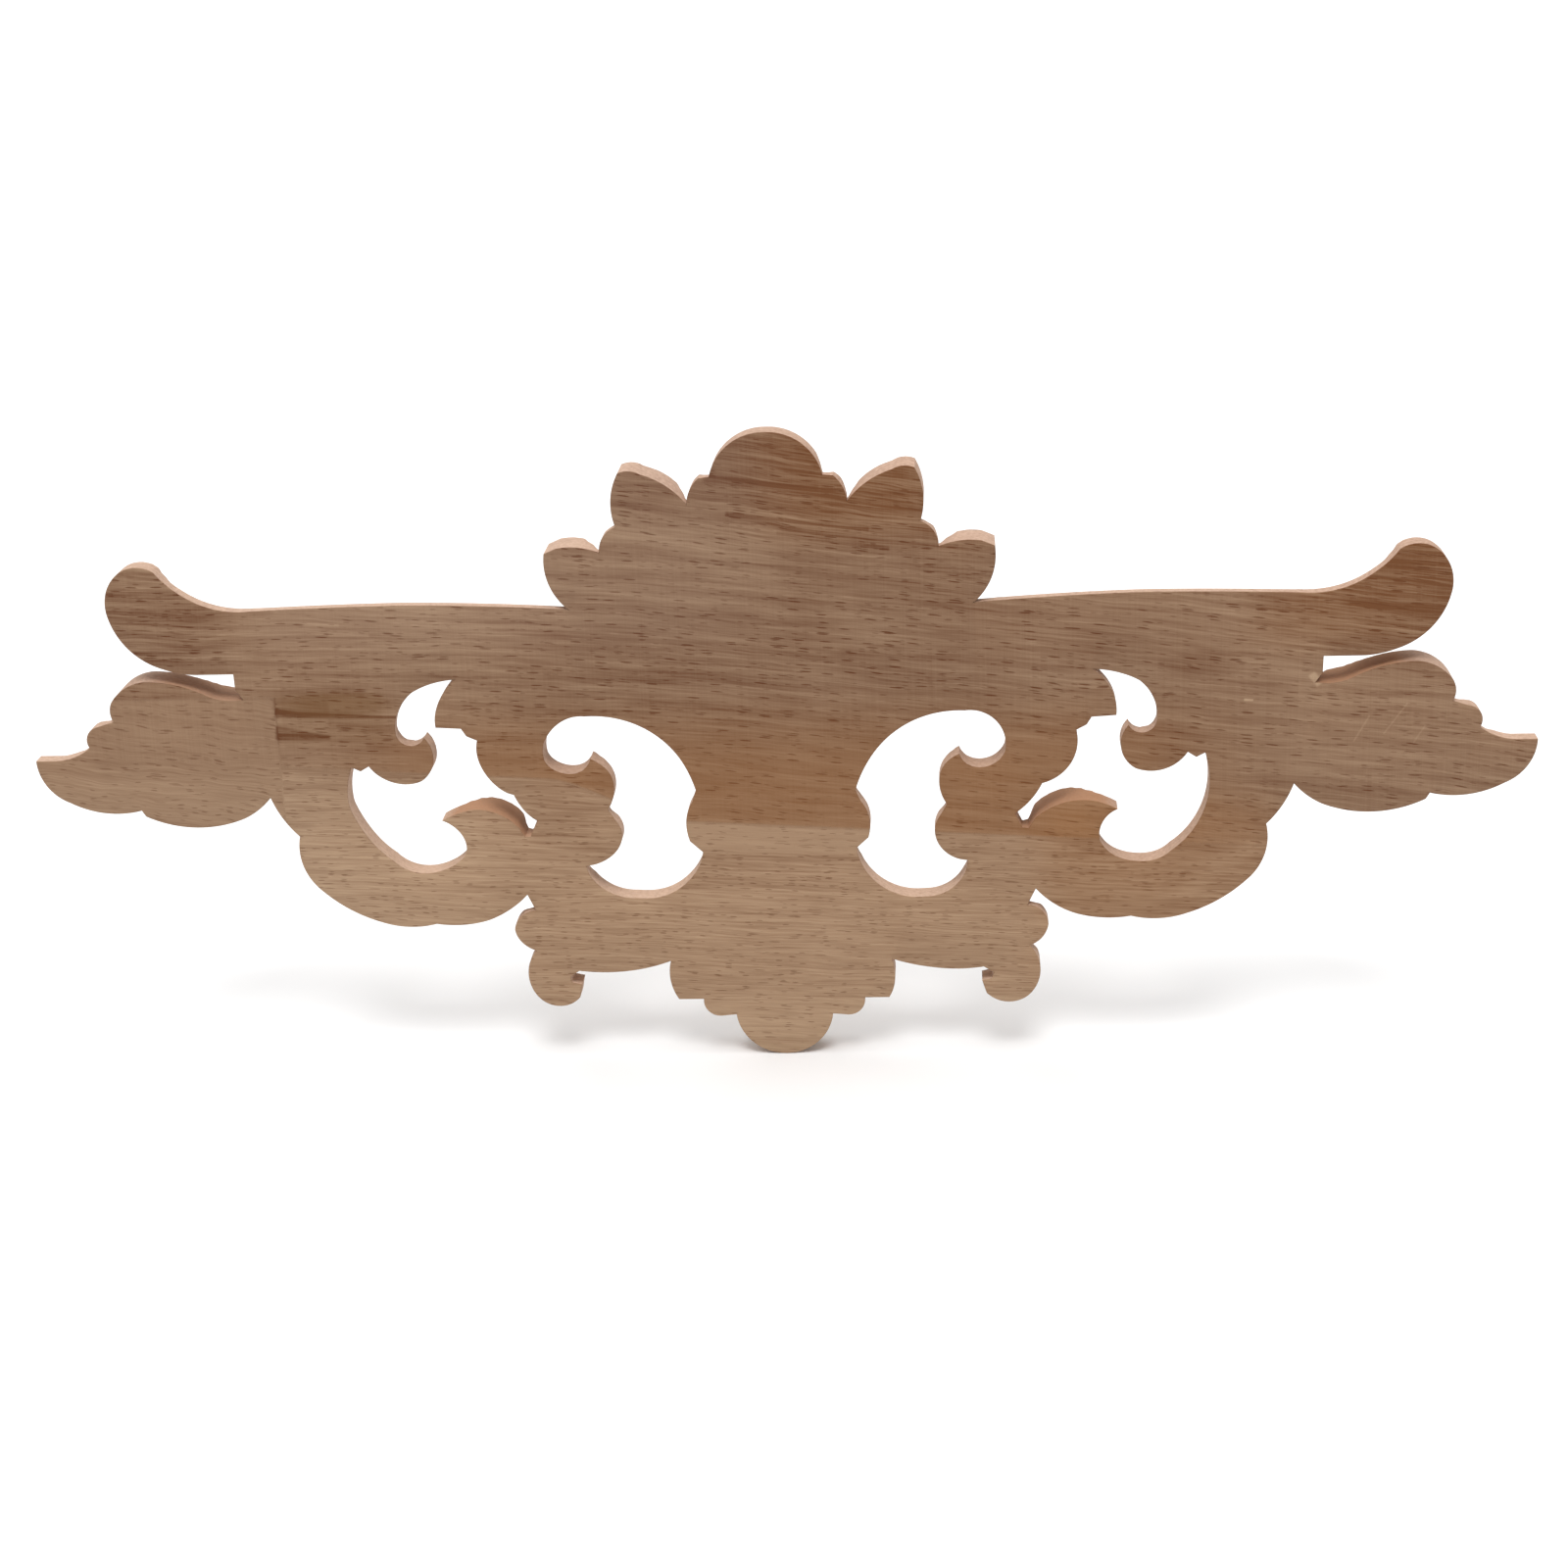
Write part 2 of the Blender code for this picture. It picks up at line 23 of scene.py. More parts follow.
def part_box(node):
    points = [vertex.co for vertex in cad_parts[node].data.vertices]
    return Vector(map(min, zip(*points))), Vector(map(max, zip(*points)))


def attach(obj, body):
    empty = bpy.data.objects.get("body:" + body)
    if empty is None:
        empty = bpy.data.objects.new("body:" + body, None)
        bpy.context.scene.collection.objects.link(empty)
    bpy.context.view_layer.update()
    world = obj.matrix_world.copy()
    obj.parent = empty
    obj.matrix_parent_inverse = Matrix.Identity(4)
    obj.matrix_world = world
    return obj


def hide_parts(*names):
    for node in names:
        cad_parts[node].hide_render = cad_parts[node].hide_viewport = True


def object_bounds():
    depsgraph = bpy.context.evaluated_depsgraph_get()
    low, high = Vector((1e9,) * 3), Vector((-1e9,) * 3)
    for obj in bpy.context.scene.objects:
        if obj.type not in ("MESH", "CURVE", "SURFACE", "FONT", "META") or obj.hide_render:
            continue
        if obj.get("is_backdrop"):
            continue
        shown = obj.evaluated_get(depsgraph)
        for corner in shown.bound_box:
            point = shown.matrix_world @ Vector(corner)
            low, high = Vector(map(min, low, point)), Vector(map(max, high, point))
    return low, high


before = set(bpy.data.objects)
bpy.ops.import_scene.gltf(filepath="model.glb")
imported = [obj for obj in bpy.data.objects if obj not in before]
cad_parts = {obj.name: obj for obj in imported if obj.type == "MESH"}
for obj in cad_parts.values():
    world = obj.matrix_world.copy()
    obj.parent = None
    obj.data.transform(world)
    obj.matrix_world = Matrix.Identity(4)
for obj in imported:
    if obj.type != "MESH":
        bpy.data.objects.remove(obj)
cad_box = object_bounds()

low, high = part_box("carved_applique")
print("the solid spans", [round(side * 1000, 1) for side in high - low], "mm")

# %% [markdown]
# The camera
#
# The photograph looks down on the back from a little above, with a long lens, so walls that
# face up show as bright bands along the top of each shape. The camera is placed by how the
# board lies in front of it: how far away it is, how far it is nodded towards the lens, how far
# it is turned about its own height and how far the picture leans. Undoing those four moves
# gives the camera's own place, which is easier to trust than a point typed by hand.

# %% Place the camera
DISTANCE = 0.597
NOD, TURN, LEAN = math.radians(19.0), math.radians(3.69), math.radians(-2.03)
SIDEWAYS, DOWN = -0.00185, 0.0088
AIM = Vector((0, 0, 0.003))
SENSOR_MM, LENS_MM = 36, 67.16

seen_from_behind = Matrix(((-1, 0, 0), (0, 0, 1), (0, 1, 0)))
board_in_view = (Matrix.Rotation(-LEAN, 3, "Z") @ Matrix.Rotation(NOD, 3, "X")
                 @ Matrix.Rotation(-TURN, 3, "Y") @ seen_from_behind)
camera = bpy.data.objects.new("camera", bpy.data.cameras.new("camera"))
camera.data.sensor_width = SENSOR_MM
camera.data.lens = LENS_MM
camera.data.clip_start = 0.01
camera.matrix_world = (Matrix.Translation(AIM) @ board_in_view.inverted().to_4x4()
                       @ Matrix.Translation((-SIDEWAYS, -DOWN, DISTANCE)))
bpy.context.scene.collection.objects.link(camera)
bpy.context.scene.camera = camera
print("the camera stands at", [round(c, 3) for c in camera.matrix_world.translation])

# %% [markdown]
# The drawing
#
# A maker draws half of such an ornament on paper, pricks it through and turns the paper over
# for the other half. The drawing below does the same. It is in millimetres, with x outwards
# from the middle and z up from half height. A pair is a straight line to that point, and four
# numbers are a circle arc through the first pair to the second. Each stretch also says how thick
# the carved wood is at its edge, as the bright bands of wall above the back show it. The numbers
# are the solid's own, so the fine piece keeps its form. Only the narrow channel beside the scroll
# head is drawn tighter here, as in the photo.

# %% The outside edge
MM = 0.001
TOUCHING = 0.01 * MM
TOP = (0.0, 67.0)
OUTSIDE = [
    ("centre petal", 5.4, [(8.2, 63.8, 11.3, 58.2)]),
    ("first bud", 4.8, [(13.4, 58.0), (15.1, 55.9, 16.0, 52.8)]),
    ("upper petal", 8.5, [(20.3, 56.8, 25.0, 59.0), (27.4, 59.7, 29.5, 59.3),
                          (31.1, 54.4, 30.5, 48.4)]),
    ("second bud", 4.2, [(33.0, 46.5, 34.0, 43.2)]),
    ("side petal", 8.6, [(38.4, 44.3, 42.6, 44.2), (45.2, 43.1), (44.9, 37.8, 40.9, 31.5)]),
    ("arm", 2.4, [(58.0, 32.5, 75.0, 33.0), (90.0, 32.8, 106.0, 32.3)]),
    ("the arm's rise", 3.2, [(118.2, 34.9, 125.0, 41.3)]),
    ("ear", 5.0, [(128.6, 42.5, 132.0, 41.3), (135.2, 36.8, 135.3, 31.2),
                  (132.4, 25.4, 125.0, 20.3)]),
    ("slot", 6.0, [(121.4, 19.3, 117.5, 19.0), (110.6, 19.0), (110.5, 15.6), (109.1, 13.6)]),
    ("leaf, first lobe's root", 10.0, [(112.4, 13.4, 116.0, 14.2)]),
    ("leaf, first lobe", 8.0, [(122.5, 16.8, 129.2, 17.7), (133.6, 16.3, 136.6, 13.4),
                               (137.1, 11.7, 136.6, 9.2)]),
    ("leaf, second lobe", 4.2, [(140.6, 8.0), (142.4, 6.3, 142.2, 3.6)]),
    ("leaf, tip", 3.8, [(145.8, 1.6, 149.6, 0.9), (153.8, 0.9), (152.5, -4.0, 147.5, -8.4),
                        (140.6, -10.7, 132.7, -10.3)]),
    ("leaf, last lobe", 6.0, [(131.9, -11.6), (121.3, -14.2, 111.0, -12.3),
                              (107.9, -10.4, 105.3, -7.9)]),
    ("large scroll", 6.5, [(103.4, -12.0, 99.9, -16.5), (99.8, -22.8, 96.0, -28.8),
                           (90.8, -32.8, 84.0, -35.9), (78.4, -37.0, 72.5, -36.4),
                           (67.0, -36.7, 61.2, -35.7), (56.7, -33.5, 52.9, -30.1)]),
    ("scroll bud", 3.6, [(51.2, -33.6), (54.5, -35.3, 55.5, -38.0), (54.3, -40.8, 51.6, -42.7)]),
    ("lower volute", 5.5, [(53.8, -48.4, 52.2, -53.0), (47.5, -55.4, 42.9, -53.4),
                           (42.1, -50.5), (44.2, -50.0), (44.4, -48.6), (42.4, -47.4)]),
    ("lower edge", 5.5, [(33.0, -47.6, 23.6, -45.4)]),
    ("pendant", 6.0, [(23.8, -50.0, 22.2, -54.1), (17.0, -54.1), (15.9, -57.1, 13.5, -58.0),
                      (10.2, -57.7)]),
    ("foot", 7.0, [(7.2, -63.8, 0.0, -66.7)]),
]
print(len(OUTSIDE), "stretches from the crown down to the foot")

# %% The pierced holes
INNER_HOLE = ((38.8, 8.9), [
    ("middle side", 4.4, [(25.4, 5.2, 16.7, -7.0), (17.6, -9.6), (19.1, -15.2, 18.6, -18.3),
                          (16.1, -20.6)]),
    ("bottom", 5.2, [(20.8, -28.9, 30.0, -31.5), (36.9, -28.5, 39.0, -23.6)]),
    ("outer side", 4.2, [(33.6, -20.9, 32.9, -13.4), (34.4, -10.4), (33.3, -4.4, 37.5, 0.5)]),
    ("hook", 6.0, [(42.6, -3.0, 46.8, 0.0), (46.2, 4.9, 38.8, 8.9)]),
])
OUTER_HOLE = ((65.6, 17.1), [
    ("horn", 3.8, [(70.2, 16.3, 74.0, 14.6), (77.0, 10.3, 77.5, 6.0), (75.6, 3.7, 71.8, 5.2)]),
    ("curl", 4.6, [(70.3, 0.3, 73.2, -4.1), (79.0, -4.4, 83.8, -0.8), (85.5, -1.9), (87.3, -1.0)]),
    ("bottom", 5.2, [(87.5, -12.3, 80.7, -22.0), (71.6, -24.6, 66.1, -19.8),
                     (66.4, -16.2, 69.7, -12.9)]),
    ("scroll tip", 5.2, [(66.0, -11.3, 62.0, -10.8)]),
    ("scroll head", 9.2, [(57.0, -11.9, 53.2, -14.3), (51.8, -16.5)]),
    ("throat", 6.2, [(50.6, -16.3), (49.3, -13.1)]),
    ("drooping leaf", 4.0, [(52.6, -10.0, 54.4, -7.0), (60.0, -3.1, 61.3, 4.3), (63.4, 5.4),
                            (64.4, 7.0), (69.4, 7.3), (68.9, 12.3, 65.6, 17.1)]),
])
print("two holes in each half, of", len(INNER_HOLE[1]), "and", len(OUTER_HOLE[1]), "stretches")

# %% [markdown]
# Drawing with the spin tool
#
# A pencil and a pair of compasses draw every line here, and bmesh has both in one operator.
# Spin pulls a single vertex round a centre and leaves a chain of edges behind it. With no angle
# and a sideways shift it draws a straight chain instead. The same pen draws the outline and,
# later, the lines that the carving tools follow.

# %% A pen that draws lines and arcs
def middle_of(start, via, end):
    """The centre of the circle through three points."""
    (ax, az), (bx, bz), (cx, cz) = start, via, end
    b2 = (bx - ax) ** 2 + (bz - az) ** 2
    c2 = (cx - ax) ** 2 + (cz - az) ** 2
    turn = 2 * ((bx - ax) * (cz - az) - (bz - az) * (cx - ax))
    return (ax + ((cz - az) * b2 - (bz - az) * c2) / turn,
            az + ((bx - ax) * c2 - (cx - ax) * b2) / turn, turn)


def swept(start, via, end):
    """An arc's centre, its length and the angle to spin by, about the axis that points away."""
    x, z, turn = middle_of(start, via, end)
    angle = math.atan2(end[1] - z, end[0] - x) - math.atan2(start[1] - z, start[0] - x)
    angle = angle % (2 * math.pi) if turn > 0 else -(-angle % (2 * math.pi))
    return (x, z), abs(angle) * math.dist(start, (x, z)), -angle


def draw(bm, start, moves, step):
    """Draws the moves from a start point, all in millimetres, and returns the vertices in order."""
    drawn = [bm.verts.new((start[0] * MM, 0, start[1] * MM))]
    for *via, x, z in moves:
        count_before = len(bm.verts)
        if via:
            centre, length, angle = swept(start, via, (x, z))
            steps = max(2, round(length / step))
            bmesh.ops.spin(bm, geom=drawn[-1:], cent=(centre[0] * MM, 0, centre[1] * MM),
                           axis=(0, 1, 0), angle=angle, steps=steps)
        else:
            steps = max(1, round(math.dist(start, (x, z)) / step))
            shift = Vector((x - start[0], 0, z - start[1])) * MM / steps
            bmesh.ops.spin(bm, geom=drawn[-1:], axis=(0, 1, 0), angle=0, dvec=shift, steps=steps)
        bm.verts.ensure_lookup_table()
        drawn += bm.verts[count_before:]
        start = (x, z)
    return drawn


trial = bmesh.new()
print("the centre petal takes", len(draw(trial, TOP, OUTSIDE[0][2], 1.0)), "points at 1 mm")
trial.free()

# %% Draw the whole outline
def outline(step, easing):
    """A mesh of the closed outline loops, with the wood's eased thickness in a layer."""
    bm = bmesh.new()
    thick = bm.verts.layers.float.new("edge_thickness")
    for pen, stretches in ((TOP, OUTSIDE), INNER_HOLE, OUTER_HOLE):
        for _, thickness, moves in stretches:
            for vert in draw(bm, pen, moves, step):
                vert[thick] = thickness
            pen = moves[-1][-2:]
    bmesh.ops.remove_doubles(bm, verts=bm.verts, dist=TOUCHING)
    bmesh.ops.mirror(bm, geom=bm.verts[:] + bm.edges[:], axis="X", merge_dist=TOUCHING)
    for _ in range(easing):
        around = [sum(e.other_vert(v)[thick] for e in v.link_edges) for v in bm.verts]
        for vert, both in zip(bm.verts, around):
            vert[thick] = (2 * vert[thick] + both) / 4
    return bm


SOLID_STEP, SOLID_EASING = 2.0, 3
edge_plan = outline(SOLID_STEP, SOLID_EASING)
thick = edge_plan.verts.layers.float["edge_thickness"]
EDGE = np.array([(v.co.x / MM, v.co.z / MM) for v in edge_plan.verts])
EDGE_THICKNESS = np.array([v[thick] for v in edge_plan.verts])
open_ends = [v for v in edge_plan.verts if len(v.link_edges) != 2]
print(len(EDGE), "points along the edge,", len(open_ends), "of them loose")

# %% [markdown]
# The saw cut
#
# A scroll saw leaves walls that stand square to the face. So the saw cut is the outline, drawn
# finely, pushed through the full thickness of the blank: first the bare walls, which also tell
# how far any place on the face is from the edge, and then lids on both ends, which make the
# walls a closed shape that can meet the carved slab in a Boolean. A rub with sandpaper takes
# the sharpness off the back edge, and a small bevel on the same shape does that here.

# %% Push the outline through the blank
SAW_STEP = 0.7
FRONT_Y = low.y - 2 * MM
BACK_Y = high.y
SAME_LEVEL = 0.1 * MM

saw = outline(SAW_STEP, 0)
bmesh.ops.translate(saw, verts=saw.verts, vec=(0, BACK_Y, 0))
pushed = bmesh.ops.extrude_edge_only(saw, edges=saw.edges)
far = [v for v in pushed["geom"] if isinstance(v, bmesh.types.BMVert)]
bmesh.ops.translate(saw, verts=far, vec=(0, FRONT_Y - BACK_Y, 0))
walls = BVHTree.FromBMesh(saw)
print("the saw leaves", len(saw.faces), "strips of wall")

# %% Close both ends
for level in (FRONT_Y, BACK_Y):
    rim = [e for e in saw.edges if all(abs(v.co.y - level) < SAME_LEVEL for v in e.verts)]
    bmesh.ops.triangle_fill(saw, edges=rim, use_beauty=True)
bmesh.ops.recalc_face_normals(saw, faces=saw.faces)
lids = BVHTree.FromBMesh(saw)
print("open edges:", sum(e.is_boundary for e in saw.edges),
      " volume", round(saw.calc_volume() * 1e6, 1), "cm3")

# %% Break the sharp back edge
EDGE_BREAK = 0.25
UPRIGHT = 0.3

back_edge = [e for e in saw.edges if all(abs(v.co.y - BACK_Y) < SAME_LEVEL for v in e.verts)
             and any(abs(f.normal.y) < UPRIGHT for f in e.link_faces)]
to_sand = sum(e.calc_length() for e in back_edge)
print(len(back_edge), "edges to sand,", round(to_sand, 2), "m of them")
bmesh.ops.bevel(saw, geom=back_edge, offset=EDGE_BREAK * MM, offset_type="OFFSET", segments=2,
                profile=0.5, affect="EDGES", clamp_overlap=False, loop_slide=False, material=-1)
for vert in saw.verts:
    vert.co.x = min(max(vert.co.x, low.x), high.x)
print("now", round(saw.calc_volume() * 1e6, 2), "cm3")

# %% [markdown]
# What the carving tools do
#
# Three tools make the front. A V-tool leaves sharp valleys between petals and lobes, a gouge
# leaves round scoops down their middles, and what is left standing is rounded over, highest at
# the domes. Each cut is a drawn line with a half width and a depth at both ends. The hidden
# front is a guess, kept plain and traditional, since only the back can be seen.

# %% The V-tool's valleys
VALLEYS = [
    ((11.3, 58.2), [(7.4, 47.0, 4.2, 36.0)], (3.6, 2.2), (3.2, 2.0)),
    ((16.0, 52.8), [(10.9, 43.4, 6.6, 34.4)], (3.6, 2.2), (3.6, 2.0)),
    ((30.5, 48.4), [(19.6, 41.6, 9.0, 32.8)], (4.0, 2.2), (4.0, 2.0)),
    ((34.0, 43.2), [(22.8, 37.6, 11.0, 30.6)], (4.0, 2.2), (4.0, 2.0)),
    ((40.9, 31.5), [(27.5, 30.8, 12.5, 26.8)], (4.5, 3.0), (3.0, 2.6)),
    ((109.1, 13.6), [(95.0, 12.6, 77.4, 8.6)], (3.6, 3.2), (3.0, 2.4)),
    ((105.3, -7.9), [(100.6, 2.4, 104.6, 12.8)], (3.8, 3.0), (3.6, 2.6)),
    ((136.6, 9.2), [(124.0, 6.8, 111.0, 3.4)], (3.8, 2.0), (3.4, 1.6)),
    ((142.2, 3.6), [(127.0, 2.0, 111.0, 0.4)], (3.6, 2.0), (3.2, 1.6)),
    ((132.7, -10.3), [(121.5, -6.6, 110.0, -3.2)], (3.6, 2.0), (3.0, 1.6)),
    ((64.4, 7.0), [(56.5, 9.2, 49.5, 15.4)], (3.4, 2.0), (2.8, 1.6)),
    ((54.4, -7.0), [(50.6, -0.6, 49.4, 7.0)], (3.2, 2.2), (2.6, 1.8)),
    ((34.4, -10.4), [(42.0, -10.0, 49.3, -13.1)], (3.2, 2.8), (2.4, 2.4)),
    ((39.0, -23.6), [(46.0, -25.2, 52.0, -30.0)], (3.2, 2.8), (2.4, 2.4)),
    ((51.2, -16.5), [(49.6, -23.4, 52.9, -30.1)], (3.4, 3.4), (2.8, 2.8)),
    ((51.2, -33.6), [(45.5, -33.0, 39.5, -34.6)], (3.2, 2.0), (2.4, 1.4)),
    ((51.6, -42.7), [(46.0, -39.4, 39.0, -38.6)], (3.2, 2.0), (2.4, 1.4)),
    ((16.7, -7.0), [(8.0, -8.9, -8.0, -8.9), (-16.7, -7.0)], (2.6, 2.6), (2.2, 2.2)),
    ((16.1, -20.6), [(0.0, -24.0, -16.1, -20.6)], (3.0, 3.0), (2.6, 2.6)),
    ((10.2, -57.8), [(7.0, -46.5, 3.6, -36.0)], (3.2, 1.8), (2.8, 1.6)),
    ((17.0, -54.1), [(11.4, -44.4, 6.2, -34.6)], (3.2, 1.8), (2.8, 1.6)),
    ((23.6, -45.4), [(16.4, -38.4, 8.8, -32.8)], (3.4, 1.8), (2.8, 1.6)),
]
print(len(VALLEYS), "valleys, the deepest", max(max(depths) for *_, depths in VALLEYS), "mm")

# %% The gouge's scoops and the domes
SCOOPS = [
    ((0.0, 60.6), [(0.0, 41.0)], (6.4, 3.0), (2.6, 1.4)),
    ((26.0, 54.2), [(18.6, 48.2, 11.2, 39.4)], (5.2, 2.2), (2.6, 1.2)),
    ((40.0, 38.8), [(28.4, 36.4, 15.4, 30.8)], (4.6, 2.0), (2.6, 1.2)),
    ((52.0, 22.0), [(80.0, 24.6, 106.0, 24.2), (120.6, 27.0, 128.8, 36.0)],
     (5.6, 4.4), (2.0, 2.6)),
    ((82.0, 2.6), [(91.8, -1.0, 95.2, -9.0), (92.6, -20.4, 84.6, -28.2),
                   (73.6, -31.6, 62.6, -28.6), (56.0, -21.6)], (3.4, 4.0), (2.2, 2.4)),
    ((13.0, -1.6), [(18.8, 7.2, 29.0, 13.0), (44.0, 14.0, 53.0, 4.6)], (2.6, 3.4), (1.8, 2.2)),
    ((131.0, 12.6), [(121.4, 11.4, 112.0, 8.0)], (4.0, 2.0), (2.4, 1.2)),
    ((138.6, 5.6), [(125.6, 4.6, 112.6, 2.2)], (2.2, 1.4), (1.6, 1.0)),
    ((148.0, -3.4), [(131.0, -3.6, 112.6, -1.8)], (4.4, 1.8), (2.4, 1.2)),
    ((123.6, -10.4), [(115.0, -8.6, 108.4, -4.6)], (3.2, 1.8), (2.2, 1.2)),
    ((65.6, 11.4), [(60.0, 14.2, 53.6, 18.2)], (2.8, 1.8), (2.0, 1.2)),
    ((22.4, -37.0), [(34.0, -41.6, 44.0, -42.6), (48.6, -43.6, 50.0, -47.0)],
     (3.4, 2.6), (2.2, 1.6)),
    ((0.0, -61.0), [(0.0, -41.0)], (5.6, 2.4), (2.4, 1.2)),
    ((19.6, -49.6), [(14.4, -42.6, 9.4, -36.6)], (3.4, 1.6), (2.2, 1.2)),
]
# Each dome gives its middle, half width, half height and rise.
DOMES = [
    (0.0, 6.5, 8.4, 11.6, 5.2),
    (0.0, 26.0, 10.0, 5.4, 2.6),
    (0.0, -15.4, 8.6, 4.6, 2.6),
    (0.0, -29.6, 7.6, 4.4, 2.2),
    (75.9, -0.4, 4.4, 4.0, 2.4),
    (59.4, -14.8, 5.4, 3.0, 0.8),
    (47.9, -50.4, 3.4, 3.2, 2.2),
    (129.4, 30.4, 4.0, 4.4, 1.6),
]
print(len(SCOOPS), "scoops and", len(DOMES), "domes in this half")

# %% [markdown]
# The finest cuts
#
# After the modelling comes the veining: thin V-cuts beside each scoop, a thread along the arms
# and scrolls, and a ring round the big cabochon. They are about a millimetre wide, too fine for
# the plain solid, and they are what makes a carved leaf read as a leaf.
#
# The front itself rises from the thickness at the sawn edge, along a quarter round that starts a
# little inside it, so that the rim stays level and clean.

# %% The veiner's lines
VEINS = [
    ((7.6, 60.4), [(6.6, 51.0, 3.3, 42.0)], (0.7, 0.5), (0.6, 0.3)),
    ((29.0, 54.6), [(22.4, 47.2, 13.4, 38.0)], (0.7, 0.5), (0.5, 0.3)),
    ((20.6, 55.2), [(15.0, 48.0, 10.0, 41.4)], (0.7, 0.5), (0.5, 0.3)),
    ((42.6, 36.4), [(30.0, 33.8, 17.0, 29.4)], (0.7, 0.5), (0.5, 0.3)),
    ((37.4, 42.4), [(26.6, 39.2, 16.0, 33.4)], (0.7, 0.5), (0.5, 0.3)),
    ((47.0, 29.6), [(78.0, 31.0, 106.0, 30.2), (116.4, 32.4, 122.6, 38.0)],
     (0.7, 0.7), (0.6, 0.6)),
    ((50.0, 15.6), [(60.0, 18.6, 80.0, 18.6), (106.6, 18.0)], (0.7, 0.6), (0.6, 0.4)),
    ((98.6, -12.6), [(97.0, -21.8, 90.4, -29.4), (78.6, -34.2, 65.4, -33.4),
                     (58.0, -29.4, 54.0, -24.4)], (0.7, 0.6), (0.6, 0.5)),
    ((89.6, -4.2), [(89.2, -14.0, 83.0, -23.4), (74.0, -26.8, 65.6, -23.6)],
     (0.6, 0.6), (0.5, 0.5)),
    ((11.4, 4.0), [(18.0, 12.4, 30.0, 17.4), (44.0, 18.0)], (0.7, 0.6), (0.5, 0.3)),
    ((133.0, 15.0), [(122.0, 14.6, 111.6, 10.6)], (0.6, 0.5), (0.5, 0.3)),
    ((134.4, 10.4), [(122.4, 8.6, 112.0, 5.4)], (0.6, 0.5), (0.5, 0.3)),
    ((151.0, -1.2), [(132.0, -0.8, 113.4, -0.4)], (0.7, 0.5), (0.5, 0.3)),
    ((144.0, -7.6), [(130.0, -7.0, 112.0, -3.0)], (0.7, 0.5), (0.5, 0.3)),
    ((127.0, -11.6), [(116.0, -10.8, 107.8, -6.6)], (0.6, 0.5), (0.5, 0.3)),
    ((66.8, 9.4), [(59.6, 12.0, 52.4, 17.0)], (0.6, 0.5), (0.5, 0.3)),
    ((60.0, 3.4), [(55.0, 6.0, 50.6, 10.6)], (0.6, 0.5), (0.5, 0.3)),
    ((57.6, -2.2), [(53.4, 1.6, 51.4, 6.4)], (0.6, 0.5), (0.5, 0.3)),
    ((22.0, -33.4), [(33.0, -37.0, 44.6, -38.8), (50.4, -40.2)], (0.6, 0.5), (0.5, 0.3)),
    ((6.6, -60.6), [(6.0, -50.6, 3.0, -41.4)], (0.7, 0.5), (0.5, 0.3)),
    ((21.4, -51.4), [(16.0, -43.6, 9.6, -38.2)], (0.6, 0.5), (0.5, 0.3)),
    ((15.0, -55.4), [(9.8, -46.0, 5.6, -38.0)], (0.6, 0.5), (0.5, 0.3)),
    ((17.6, -11.2), [(6.0, -12.8, -6.0, -12.8), (-17.6, -11.2)], (0.7, 0.7), (0.6, 0.6)),
    ((18.0, -17.8), [(6.0, -20.2, -6.0, -20.2), (-18.0, -17.8)], (0.7, 0.7), (0.6, 0.6)),
    ((0.0, 20.4), [(11.0, 6.5, 0.0, -7.4), (-11.0, 6.5, 0.0, 20.4)], (0.8, 0.8), (0.7, 0.7)),
]
print(len(VEINS), "fine cuts")

# %% How deep the tools go
GUIDE_STEP = 1.5


def path_of(start, moves):
    """The points of a tool's path in millimetres, drawn with the pen."""
    bm = bmesh.new()
    points = np.array([(v.co.x / MM, v.co.z / MM) for v in draw(bm, start, moves, GUIDE_STEP)])
    bm.free()
    return points


def nearest(points, path):
    """How far each point is from a path, and how far along it the nearest place is, 0 to 1."""
    start, along = path[:-1], np.diff(path, axis=0)
    length = np.hypot(*along.T)
    offset = points[:, None] - start
    share = np.clip((offset * along).sum(2) / length ** 2, 0, 1)
    gap = np.hypot(*(offset - share[..., None] * along).transpose(2, 0, 1))
    best = gap.argmin(1)
    rows = np.arange(len(points))
    travelled = np.concatenate([[0], np.cumsum(length)])[best] + share[rows, best] * length[best]
    return gap[rows, best], travelled / length.sum()


def cut_depth(points, cuts, profile):
    """The deepest that any of the cuts goes at each point. The left half follows the right."""
    points = np.abs(points * (1, 0)) + points * (0, 1)
    deepest = np.zeros(len(points))
    for start, moves, widths, depths in cuts:
        path = path_of(start, moves)
        reach = max(widths)
        close = ((points > path.min(0) - reach) & (points < path.max(0) + reach)).all(1)
        gap, share = nearest(points[close], path)
        width = widths[0] + (widths[1] - widths[0]) * share
        depth = depths[0] + (depths[1] - depths[0]) * share
        deepest[close] = np.maximum(deepest[close], depth * profile(np.clip(gap / width, 0, 1)))
    return deepest


def gouge(away):
    """How deep a gouge goes, from 1 in the middle of its cut to 0 at the side."""
    return 1 - away ** 2


def v_tool(away):
    """The same for the straight sides that a V-tool leaves."""
    return 1 - away


crown_cut = cut_depth(np.array([(0.0, 55.0)]), SCOOPS, gouge)[0]
print("the crown's middle is cut", round(float(crown_cut), 2), "mm deep")

# %% The height of the carved front
SWELL, SWELL_REACH = 4.4, 6.5
LEVEL_RIM = 0.7
THINNEST = 2.4
SOFTENING = 0.2
CHUNK = 4000


def edge_height(points):
    """The thickness along the sawn edge, spread inwards and weighted by nearness."""
    height = []
    for first in range(0, len(points), CHUNK):
        gap2 = ((points[first:first + CHUNK, None] - EDGE) ** 2).sum(2)
        weight = 1 / (gap2 + SOFTENING) ** 2
        height.append(weight @ EDGE_THICKNESS / weight.sum(1))
    return np.concatenate(height)


